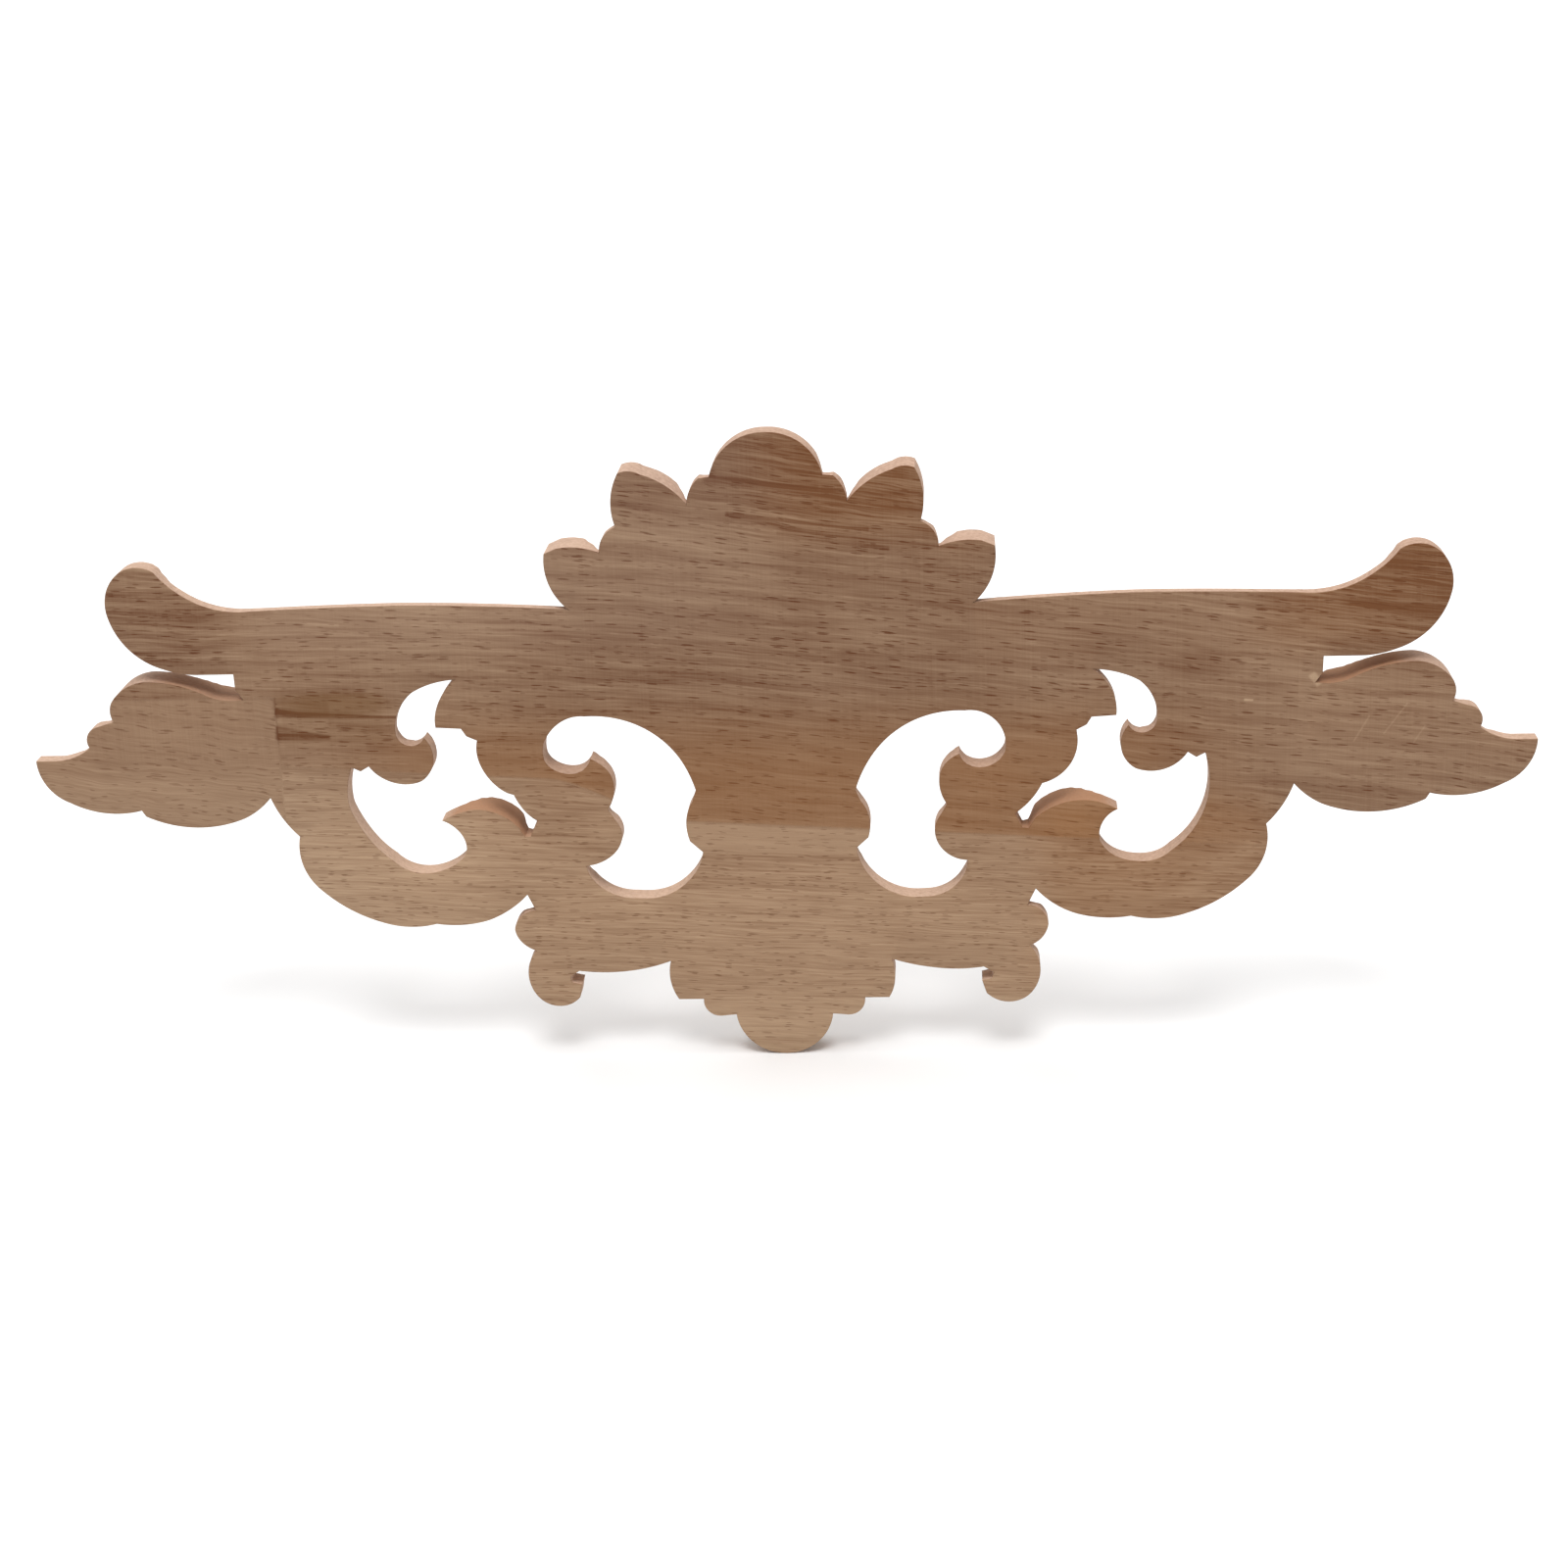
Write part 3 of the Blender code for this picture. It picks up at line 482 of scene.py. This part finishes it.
def front_height(points):
    """The height of the front above the back, in millimetres."""
    inside = np.array([walls.find_nearest((x * MM, 0, z * MM))[3] for x, z in points]) / MM
    climbed = np.clip((inside - LEVEL_RIM) / (SWELL_REACH - LEVEL_RIM), 0, 1)
    height = edge_height(points) + SWELL * np.sqrt(1 - (1 - climbed) ** 2)
    for x, z, half_width, half_height, rise in DOMES:
        for side in {x, -x}:
            off = ((points - (side, z)) / (half_width, half_height)) ** 2
            height += rise * np.sqrt(np.clip(1 - off.sum(1), 0, 1))
    height -= cut_depth(points, SCOOPS, gouge)
    height -= cut_depth(points, VALLEYS, v_tool)
    height -= cut_depth(points, VEINS, v_tool)
    return np.maximum(height, THINNEST)


cabochon = front_height(np.array([DOMES[0][:2]]))[0]
print("the big cabochon stands", round(float(cabochon), 2), "mm proud of the back")

# %% [markdown]
# The slab and its carving
#
# The blank starts as a fine grid, like a board ruled in half-millimetre squares. Squares that
# the saw will throw away are dropped first, because carving air costs time. Then every corner
# is lowered to its height, the rim is pulled down to just behind the back, and the underside is
# closed with as few faces as it can have, since the saw cut's own lid becomes the flat back.

# %% Rule the grid
SQUARE = 0.53
SPARE = 1.8
EXTRA_SQUARES = 6
UNDERSIDE_Y = high.y + 1 * MM

slab = bmesh.new()
across = round((high.x - low.x) / MM / SQUARE) + EXTRA_SQUARES
upward = round((high.z - low.z) / MM / SQUARE) + EXTRA_SQUARES
stretch = Matrix.Diagonal((across * SQUARE * MM / 2, upward * SQUARE * MM / 2, 1, 1))
middle = Matrix.Translation((0, UNDERSIDE_Y, (low.z + high.z) / 2))
bmesh.ops.create_grid(slab, x_segments=across, y_segments=upward, size=1,
                      matrix=middle @ Matrix.Rotation(math.radians(90), 4, "X") @ stretch)
waste = [f for f in slab.faces
         if lids.find_nearest(Vector((f.calc_center_median().x, BACK_Y, f.calc_center_median().z)),
                              SPARE * MM)[0] is None]
bmesh.ops.delete(slab, geom=waste, context="FACES")
while pinched := [v for v in slab.verts if sum(e.is_boundary for e in v.link_edges) > 2]:
    bmesh.ops.delete(slab, geom=pinched, context="VERTS")
print(across, "by", upward, "squares,", len(slab.faces), "kept")

# %% Carve it
top = slab.verts[:]
rim = [e for e in slab.edges if len(e.link_faces) == 1]
pulled = bmesh.ops.extrude_edge_only(slab, edges=rim)
back_rim = [e for e in pulled["geom"] if isinstance(e, bmesh.types.BMEdge)
            and len(e.link_faces) == 1]
heights = front_height(np.array([(v.co.x / MM, v.co.z / MM) for v in top]))
for vert, height in zip(top, heights):
    vert.co.y = max(-height * MM, low.y)
bmesh.ops.triangulate(slab, faces=slab.faces)
bmesh.ops.triangle_fill(slab, edges=back_rim, use_beauty=True)
bmesh.ops.recalc_face_normals(slab, faces=slab.faces)
print("carved", len(top), "points, the highest", heights.max().round(2), "mm")
print("open edges:", sum(e.is_boundary for e in slab.edges),
      " volume", round(slab.calc_volume() * 1e6, 1), "cm3")

# %% Saw the outline out of the slab
def as_object(name, bm):
    """A bmesh made an object at the origin, and the bmesh freed."""
    mesh = bpy.data.meshes.new(name)
    bm.to_mesh(mesh)
    bm.free()
    thing = bpy.data.objects.new(name, mesh)
    bpy.context.scene.collection.objects.link(thing)
    return thing


blank = as_object("blank", slab)
saw_cut = as_object("saw_cut", saw)
cut = blank.modifiers.new("saw", "BOOLEAN")
cut.operation = "INTERSECT"
cut.solver = "EXACT"
cut.object = saw_cut
sawn = bpy.data.meshes.new_from_object(blank.evaluated_get(bpy.context.evaluated_depsgraph_get()))
for tool in (blank, saw_cut):
    bpy.data.objects.remove(tool)
print(len(sawn.polygons), "faces after the saw")

# %% [markdown]
# Where the saw wandered
#
# Nobody saws two halves quite alike. In the photo the real edge leaves the pattern by a
# millimetre or so, most of all round the pierced holes, and the left half never quite matches
# the right. Each row below is a place on the pattern and how far the real edge lies from it,
# sideways and up. Every point of the board moves with the slips near it, so the carving goes
# along with its edge.

# %% Let the edge wander
SLIP_REACH = 6.0
SLIPS = np.array([
    (46.8, 1.5, 0.9, -0.5), (37.5, 0.5, 0.6, -0.9), (34.4, -10.4, 0.6, -1.0),
    (39.0, -23.6, 1.2, -0.2), (30.0, -31.5, 0.0, 0.4), (16.1, -20.6, -0.3, -0.5),
    (16.7, -7.0, 0.0, -0.6), (65.6, 17.1, -0.5, 0.0), (77.3, 8.0, 0.5, -0.6),
    (71.8, 5.2, 0.5, -0.4), (76.5, -4.4, 0.0, -0.6), (85.5, -1.9, 0.4, -0.6),
    (87.7, -8.0, 0.9, 0.0), (66.2, -18.5, -1.3, -0.5), (69.7, -12.9, 0.5, -0.5),
    (51.2, -16.4, 0.9, -0.7), (54.4, -7.0, 0.0, -1.0), (64.4, 7.0, 0.0, -0.5),
    (42.4, -48.0, 0.6, 0.0), (55.5, -38.0, 0.6, 0.0), (128.0, 42.3, 0.0, -0.6),
    (-65.6, 17.1, 0.8, 0.0), (-73.0, -24.4, 0.0, 0.7), (-49.3, -13.1, 0.5, -0.4),
    (-37.5, 0.5, 0.0, -0.9), (-34.4, -10.4, -0.4, -0.8), (-16.7, -7.0, 0.5, -0.9),
    (-23.6, -45.4, 0.7, 0.0), (-42.4, -50.0, 0.5, 0.0), (-128.0, 42.3, 0.0, -0.6),
])


def slip(points):
    """How far the real board lies from the pattern at each point, in millimetres."""
    share = np.exp(-((points[:, None] - SLIPS[:, :2]) ** 2).sum(2) / SLIP_REACH ** 2)
    return share @ SLIPS[:, 2:] / np.maximum(share.sum(1), 1)[:, None]


shifts = slip(np.array([(vert.co.x, vert.co.z) for vert in sawn.vertices]) / MM) * MM
for vert, (over, up) in zip(sawn.vertices, shifts):
    vert.co += Vector((over, 0, up))
sawn.update()
print("the edge wanders by up to", round(float(np.hypot(*shifts.T).max()) / MM, 2), "mm")

# %% The finished board
board = bpy.data.objects.new("carved_board", sawn)
bpy.context.scene.collection.objects.link(board)
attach(board, "root")
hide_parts("carved_applique")
print(board.name, "rides the root and stands in for the plain solid")

# %% Smooth curves and crisp cuts
CRISP = math.radians(32)

sawn.shade_smooth()
sawn.set_sharp_from_angle(angle=CRISP)
wall = sawn.attributes.new("sawn_wall", "FLOAT", "FACE")
for face, mark in zip(sawn.polygons, wall.data):
    mark.value = abs(face.normal.y) < UPRIGHT
print(sum(edge.use_edge_sharp for edge in sawn.edges), "crisp edges,",
      round(sum(mark.value for mark in wall.data)), "faces of sawn wall")

# %% [markdown]
# The wood
#
# The blank is glued up from boards of the same pale, open-grained hardwood, cut from different
# trees. From the flat back three things tell them apart: the tone, the way the grain runs, and
# the glue line where they meet. The wood is solid, so its pattern is worked out from where a
# place lies in the board, in millimetres, and not from any unwrapping. The saw walls then show
# the same fibres from the side, as cut timber does.
#
# Shader sums get long. The class below wraps one socket of the node tree, and Python's own
# signs on it add the Math nodes, so a recipe reads as one line of arithmetic.

# %% Terms that add up like numbers
class Term:
    """One value in a node tree, held as the output socket that carries it."""

    def __init__(self, socket):
        self.socket = socket

    def node(self, kind, settings=None, inputs=None, output=0):
        """Any other node of the same tree: its settings, then numbers or terms on its sockets."""
        tree = self.socket.id_data
        made = tree.nodes.new("ShaderNode" + kind)
        for name, value in (settings or {}).items():
            setattr(made, name, value)
        for name, value in (inputs or {}).items():
            if isinstance(value, Term):
                tree.links.new(value.socket, made.inputs[name])
            else:
                made.inputs[name].default_value = value
        return Term(made.outputs[output])

    def maths(self, operation, *values):
        """A Math node with these numbers or terms on its sockets."""
        return self.node("Math", {"operation": operation}, dict(enumerate(values)))

    def __add__(self, other):
        return self.maths("ADD", self, other)

    def __sub__(self, other):
        return self.maths("SUBTRACT", self, other)

    def __rsub__(self, other):
        return self.maths("SUBTRACT", other, self)

    def __mul__(self, other):
        return self.maths("MULTIPLY", self, other)

    def __truediv__(self, other):
        return self.maths("DIVIDE", self, other)

    def __pow__(self, other):
        return self * self if other == 2 else self.maths("POWER", self, other)

    def __abs__(self):
        return self.maths("ABSOLUTE", self)

    __radd__ = __add__
    __rmul__ = __mul__


def rise(value, low_end, high_end):
    """0 at the low end, 1 at the high end and smooth between them, whichever way they lie."""
    return value.node("MapRange", {"interpolation_type": "SMOOTHSTEP"},
                      {"Value": value, "From Min": low_end, "From Max": high_end})


def band(value, start, end, soft):
    """1 between two values and 0 outside them, with soft ends."""
    return rise(value, start - soft, start + soft) * rise(value, end + soft, end - soft)


def blend(share, first, second):
    """A number part of the way from one value to another."""
    return first + (second - first) * share


def mix_colour(share, first, second):
    """A colour part of the way from one to another."""
    return share.node("Mix", {"data_type": "RGBA"}, {0: share, 6: first, 7: second}, output=2)


wood = bpy.data.materials.new("bare_wood")
wood.use_nodes = True
shader = wood.node_tree.nodes["Principled BSDF"]
place = Term(wood.node_tree.nodes.new("ShaderNodeTexCoord").outputs["Object"])
x, y, z = (place.node("SeparateXYZ", inputs={0: place}, output=axis) for axis in "XYZ")
u = x * (-1 / MM)
w = z * (1 / MM)
deep = y * (-1 / MM)
print("the recipe starts with", len(wood.node_tree.nodes), "nodes")

# %% [markdown]
# Where each board lies
#
# u runs to the right and w upwards as one looks at the back, both in millimetres. The main glue
# line crosses the whole piece a little below the middle and drops slightly to the right. On the
# left it climbs towards the leaf. Far out on both sides it fades, because there the two boards
# match. A third, short board makes the left leaf.

# %% Boards and glue lines
SEAM_HEIGHT = -15.2

seam = SEAM_HEIGHT - 0.06 * u + 8 * rise(u, -20, -48)
under = seam - w
below_seam = rise(under, -0.25, 0.35)
faded = rise(u, 54, 66) + rise(u, -54, -66)
lower = blend(faded, rise(under, -1.4, 0.9), rise(under, -6.0, 9.0))
left_tip = rise(u, -102.35, -102.75) * rise(w, 14.2, 13.6)

# The grain leans one way at the left and another at the right, so the lean is a bent curve.
RIGHT_OF, BEND, SLOPE = 35, 30, 0.0425
past = u + RIGHT_OF
bent = (past + (past * past + BEND ** 2) ** 0.5) * SLOPE
across_upper = w + 0.035 * u + bent + 0.05 * u * rise(w, 36, 54)
across_lower = w + 0.05 * u + 47
print("the main glue line crosses the middle", -SEAM_HEIGHT, "mm below half height")

# %% [markdown]
# The tones
#
# A board is never one colour. The heartwood side is browner, and so are the crown and the right
# ear, while the left scroll is nearly blond. The foot is painted paler too: painted light that
# makes up for the shade it gets near the floor. These are wide, slow changes, so they are drawn
# as soft regions first, on a scale from 0, the brown of the vessels, to 1, the palest wood.

# %% Tone of each region
def tone_of_regions():
    """The wood's tone before its grain, from 0 for brown to 1 for pale, with painted light at the
    foot.
    """
    side = abs(u)
    right = rise(u, -8, 12)
    arms = band(side, 52, 114, 8) * rise(w, 2, 12)
    upper = 0.31 + arms * (0.09 - 0.03 * right)
    upper = upper - 0.14 * rise(u, 92, 101) * rise(w, 21, 27)
    upper = upper + 0.06 * band(side, 88, 104, 8) * rise(w, 10, 2)
    upper = upper - 0.12 * rise(w, 44, 58) * rise(side, 34, 24)
    upper = upper - 0.05 * right * rise(w, 28, 46)
    upper = upper + 0.1 * (1 - right) * band(w, 34, 52, 6)
    upper = upper - 0.05 * rise(u, 112, 128) * rise(w, 15, 24)
    upper = upper - 0.04 * rise(u, -112, -126) * rise(w, 15, 24)
    upper = upper + 0.08 * rise(u, 100, 108) * rise(w, 14.5, 13)
    below = 0.56 + 0.11 * rise(under, 8, 22)
    # Painted light: the foot is made paler to make up for the shade it gets near the floor.
    below = below + 0.2 * rise(w, -48, -60)
    below = below - 0.03 * rise(u, 46, 62) + 0.08 * rise(u, -54, -66)
    below = below - 0.08 * band(u, -50, -38, 4) * rise(w, -22, -16)
    glued = band(under, 0.2, 6.4, 0.7) * rise(abs(u), 26, 18)
    below = below + 0.13 * glued
    tip = 0.43 + 0.12 * rise(w, 1, -5)
    tone = blend(lower, upper, below)
    return blend(left_tip, tone, tip), glued


tone, glued = tone_of_regions()
plain = 1 - 0.6 * (glued * rise(under, 0, 0.4)) - 0.4 * left_tip
print("tones use", len(wood.node_tree.nodes), "nodes so far")

# %% [markdown]
# The grain
#
# Three things make grain. Wide bands are the years of growth, faint threads are the fibres, and
# short dark dashes are the vessels, which show as open pores where such wood is cut along its
# length. All three are noise, stretched along the grain: the texture's place is divided by how
# long and how wide one mark should be.

# %% Noise stretched along the grain
def marks_of(along, across, length, width):
    """A place for a texture, in which one unit is one mark of this length and width."""
    return along.node("CombineXYZ", inputs={"X": along / length, "Y": across / width,
                                            "Z": deep / width})


def noise(along, across, length, width, detail=2.0):
    """Noise from about -0.5 to 0.5, drawn out along the grain."""
    return along.node("TexNoise", inputs={
        "Vector": marks_of(along, across, length, width), "Scale": 1.0, "Detail": detail}) - 0.5


def vessels(along, across, length, width, fullness):
    """Short dashes, 1 in a dash and 0 in the plain wood, one in each cell of a Voronoi pattern."""
    cells = {"Vector": marks_of(along, across, length, width), "Scale": 1.0}
    near = along.node("TexVoronoi", inputs=cells, output="Distance")
    chance = along.node("TexVoronoi", inputs=cells, output="Color")
    chosen = along.node("SeparateColor", inputs={0: chance})
    return rise(near, 0.33, 0.2) * rise(chosen, 1 - fullness, 1.05 - fullness)


sway = 2.6 * noise(u, w, 55, 15) + 1.0 * noise(u, w, 18, 6) + 0.3 * noise(u, w, 6, 2.4)
across = blend(below_seam, across_upper, across_lower) + sway
across = blend(left_tip, across, w + 0.12 * u + 3 * noise(u, w, 12, 9) + 90)
along = u + 0.1 * w

years = noise(along, across, 46, 2.2)
fibres = noise(along, across, 15, 0.5)
threads = noise(along, across, 7, 0.22)
crowd = rise(noise(along, across, 22, 3.5), -0.2, 0.2)
long_pores = vessels(along, across, 4.6, 0.5, 0.2 + 0.35 * crowd)
short_pores = vessels(along + 31, across, 2.6, 0.42, 0.5 - 0.25 * crowd)
pores = long_pores.maths("MAXIMUM", long_pores * blend(below_seam, 1.0, 0.6),
                         short_pores * blend(below_seam, 0.5, 0.85))
lively = rise(u, -14, 12) * rise(w, 40, 52) + rise(u, 88, 112) * rise(w, 16, 26)
right_scroll = rise(abs(u - 78), 30, 18) * rise(w, -6, -16)
lively = lively + 0.7 * rise(u, -100, -125) * rise(w, 15, 24) + 0.5 * right_scroll
dark_lines = lively * vessels(along + 53, across, 9.0, 0.6, 0.55)
flecks = vessels(along + 77, across, 4.0, 0.5, 0.12)
planer = noise(w, u, 26, 0.4) * (1 - below_seam)
print("grain brings it to", len(wood.node_tree.nodes), "nodes")

# %% Streaks and stains
# Each runs from one place to another, with its thickness at both ends, how soft its sides are
# and how much darker it makes the wood. A negative one is paler.
STREAKS = [
    ((-97.0, 13.9), (-84.0, 14.2), 0.3, 0.2, 0.5, 0.1),
    ((-102.5, 11.6), (-92.0, 11.4), 3.4, 2.0, 1.0, 0.12),
    ((-102.4, 10.9), (-98.4, 10.3), 0.8, 0.8, 0.4, 0.34),
    ((-98.0, 10.2), (-77.5, 9.3), 0.8, 0.2, 0.4, 0.36),
    ((-102.5, 6.3), (-92.0, 5.2), 2.4, 0.3, 0.7, 0.3),
    ((-102.5, 8.7), (-92.0, 8.4), 1.4, 0.8, 0.6, -0.09),
    ((-90.0, 7.6), (-72.0, 7.4), 0.4, 0.2, 0.4, 0.12),
    ((-84.0, 3.4), (-72.0, 3.0), 0.5, 0.3, 0.6, 0.1),
    ((-102.5, 13.8), (-102.5, 4.0), 0.25, 0.15, 0.2, 0.08),
    ((-110.0, 13.6), (-102.5, 13.8), 0.2, 0.2, 0.2, 0.05),
    ((-8.0, 50.6), (20.0, 47.0), 0.5, 0.3, 0.5, 0.22),
    ((2.0, 46.6), (24.0, 43.0), 0.3, 0.3, 0.4, 0.14),
    ((-12.0, 58.0), (10.0, 55.6), 0.8, 0.4, 0.8, 0.14),
    ((95.0, 10.2), (96.6, 10.1), 0.3, 0.2, 0.2, -0.4),
    ((108.4, 15.2), (109.8, 13.4), 0.9, 0.9, 0.6, -0.3),
    ((84.0, -30.5), (98.0, -21.0), 1.2, 1.2, 2.0, -0.1),
    ((-18.0, -22.4), (17.0, -23.0), 0.5, 0.5, 0.9, 0.1),
    ((-95.0, 29.4), (-88.0, 29.1), 0.4, 0.3, 0.4, -0.14),
    ((-90.0, 27.2), (-82.0, 26.8), 0.4, 0.3, 0.4, -0.12),
    ((117.0, 1.0), (120.0, 6.4), 0.1, 0.1, 0.25, -0.12),
    ((123.0, 2.6), (127.4, 8.8), 0.1, 0.1, 0.25, -0.12),
    ((129.0, 0.6), (131.2, 4.2), 0.1, 0.1, 0.25, -0.1),
]


def streak(start, end, thick_start, thick_end, soft):
    """1 along a straight, tapering streak between two places on the back, and 0 away from it."""
    run = Vector(end) - Vector(start)
    share = ((u - start[0]) * run.x + (w - start[1]) * run.y) / run.length_squared
    off = abs((u - start[0]) * (-run.y) + (w - start[1]) * run.x) / run.length
    half = (thick_start + (thick_end - thick_start) * share) / 2
    ends = soft / run.length
    return rise(off, half + soft, half) * rise(share, -ends, 0.0) * rise(share, 1 + ends, 1.0)


def stain(middle_u, middle_w, half_length, half_width):
    """1 in the middle of an oval on the back, and 0 outside it."""
    off = ((u - middle_u) / half_length) ** 2 + ((w - middle_w) / half_width) ** 2
    return rise(off, 1.0, 0.0)


olive = stain(-90, 12.2, 15, 3.6)
tone = tone - 0.12 * stain(86, 17.6, 10, 4.5) - 0.04 * olive - 0.06 * stain(-93, 16.5, 13, 5)
for start, end, thick_start, thick_end, soft, strength in STREAKS:
    tone = tone - strength * streak(start, end, thick_start, thick_end, soft)
print(len(STREAKS), "streaks and stains drawn")

# %% [markdown]
# The colours
#
# Each colour was matched on a screen, and the light of this studio is taken out of it again, so
# that it comes out as it was matched. The tone mixes brown with pale. Thin washes then go over
# it: orange on the middle of the upper board, grey towards the upper left, olive in the stain at
# the left, and red in the streaks and the pores.

# %% Mix the colours
def albedo(red, green, blue):
    """A colour for the wood, from one matched on a screen, without the studio's light."""
    return (*((((c / 255 + 0.055) / 1.055) ** 2.4) / LIGHT_ON_BACK for c in (red, green, blue)), 1)


LIGHT_ON_BACK = 1.14
BROWN, PALE = albedo(98, 59, 36), albedo(187, 158, 129)
# The second colour below is the walls': partly paler sawn wood, partly painted light for the walls
# that face up.
REDDISH, SAWN_AND_LIT = albedo(92, 48, 22), albedo(227, 195, 174)
ORANGE, OLIVE = albedo(150, 104, 64), albedo(116, 82, 48)
# The second colour below is painted shade, for the walls deep in the slots.
GREYISH, SLOT_SHADE = albedo(168, 146, 130), albedo(172, 126, 92)

marked = plain * (1 + 0.6 * lively + 0.5 * below_seam)
quiet = 1 - 0.45 * below_seam.maths("MAXIMUM", below_seam, left_tip)
tone = tone + marked * (0.55 * quiet * years + 0.5 * fibres + 0.35 * threads) + 0.12 * planer
tone = tone - plain * (0.25 * pores + 0.22 * dark_lines) + 0.1 * flecks * plain
colour = mix_colour(tone, BROWN, PALE)
warm = blend(below_seam, 0.42, 0.1) * rise(abs(u), 108, 56) * rise(w, 17, -5)
warm = warm + 0.22 * lively * rise(u, -14, 0) + 0.12 * right_scroll
colour = mix_colour(warm, colour, ORANGE)
greyish = 0.09 * rise(w, 16, 30) * rise(u, 16, -24) * rise(u, -112, -98)
colour = mix_colour(greyish, colour, GREYISH)
stained = 0.34 * olive + 0.16 * band(u, -102.5, -80, 2) * band(w, 4, 15, 1.5)
colour = mix_colour(stained * (1 - left_tip), colour, OLIVE)
red_streaks = rise(noise(along, across, 26, 0.9), 0.06, 0.24) * lively
colour = mix_colour(0.4 * red_streaks + 0.28 * pores, colour, REDDISH)
print("colours bring it to", len(wood.node_tree.nodes), "nodes")

# %% The sawn walls and the surface
# The walls are paler than the back, partly as sawn wood is and partly as painted light for the
# walls that face up. In the slots and beside the scroll heads they get painted shade: a browner
# colour for the light that reaches there only off the wood around.
wall_mark = place.node("Attribute", {"attribute_name": "sawn_wall"}, output="Fac")
saw_marks = noise(u, w, 0.7, 0.7, 1.0)
# The paler wall colour is partly painted light, standing in for the light that the walls facing up
# catch.
colour = mix_colour(wall_mark * (0.5 + 0.5 * saw_marks), colour, SAWN_AND_LIT)
side = abs(u)
# Painted shade on the walls in the narrow slots and beside the scroll heads.
painted_slot_shade = rise(side, 104, 108) * band(w, 12.6, 19.2, 0.8) * rise(side, 130, 124)
painted_slot_shade = painted_slot_shade + band(side, 49, 68, 2) * band(w, -17.5, -8, 1.5)
colour = mix_colour(wall_mark * painted_slot_shade * (0.8 - 0.25 * rise(u, -100, -106)), colour, SLOT_SHADE)
bump = place.node("Bump", inputs={"Strength": 0.5, "Distance": 0.12 * MM,
                                  "Height": 0.6 * fibres - pores + wall_mark * saw_marks})
link = wood.node_tree.links.new
link(colour.socket, shader.inputs["Base Color"])
link((0.6 + 0.12 * pores + 0.1 * wall_mark).socket, shader.inputs["Roughness"])
link(bump.socket, shader.inputs["Normal"])
shader.inputs["Specular IOR Level"].default_value = 0.1
sawn.materials.clear()
sawn.materials.append(wood)
print("the whole recipe takes", len(wood.node_tree.nodes), "nodes")

# %% [markdown]
# The light
#
# A product table is white paper under soft lights. A very wide one hangs straight overhead. It
# only grazes the flat back and fills the walls that face up, which is what draws the bright line
# along the top of every petal. A smaller one stands high behind the camera: it lights the back
# and reaches a little way down into the pierced holes. A weak one on the other side shows the
# carving to anyone who walks round the board. The white paper throws part of the light back up,
# and that is the rest of what the flat back sees.

# %% Floor, light and tone
FLOOR_SIZE = 14.0
FLOOR_WHITE = 0.8
ROOM_LIGHT = 0.55

floor_bm = bmesh.new()
bmesh.ops.create_grid(floor_bm, x_segments=1, y_segments=1, size=FLOOR_SIZE,
                      matrix=Matrix.Translation((0, 0, low.z)))
floor = as_object("floor", floor_bm)
paper = bpy.data.materials.new("paper")
paper.use_nodes = True
paper_shader = paper.node_tree.nodes["Principled BSDF"]
paper_shader.inputs["Base Color"].default_value = (FLOOR_WHITE, FLOOR_WHITE, FLOOR_WHITE, 1)
paper_shader.inputs["Roughness"].default_value = 0.9
paper_shader.inputs["Specular IOR Level"].default_value = 0.0
floor.data.materials.append(paper)
floor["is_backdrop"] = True

# Each light gives its strength, its breadth, its tilt towards the camera (below 0 for away from
# it) and its turn, the last three in degrees.
LIGHTS = {"overhead": (1.85, 60, 0, 0), "behind the camera": (1.4, 24, 30, 0),
          "before the carving": (0.45, 30, -50, 35)}
for name, (strength, breadth, tilt, turn) in LIGHTS.items():
    lamp = bpy.data.objects.new(name, bpy.data.lights.new(name, "SUN"))
    lamp.data.energy = strength
    lamp.data.angle = math.radians(breadth)
    lamp.rotation_euler = (math.radians(-tilt), 0, math.radians(turn))
    bpy.context.scene.collection.objects.link(lamp)

room = bpy.data.worlds.new("room")
room.use_nodes = True
room.node_tree.nodes["Background"].inputs["Color"].default_value = (1, 1, 1, 1)
room.node_tree.nodes["Background"].inputs["Strength"].default_value = ROOM_LIGHT
bpy.context.scene.world = room
bpy.context.scene.view_settings.view_transform = "Standard"
print("the floor is", 2 * FLOOR_SIZE, "m across, under", len(LIGHTS), "lights")

# %% [markdown]
# Sizes
#
# The dressed board's box and the imported solid's box are set side by side, and the print shows
# how far each corner of the board lies from the solid's, in millimetres. The dressed board has
# to stay inside the imported solid's box.

# %% Compare with the solid
size = {"cad": [list(corner) for corner in cad_box],
        "visual": [list(corner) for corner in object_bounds()]}
print("grown by", [[round((after - before) / MM, 3) for before, after in zip(*pair)]
                   for pair in zip(size["cad"], size["visual"])], "mm")
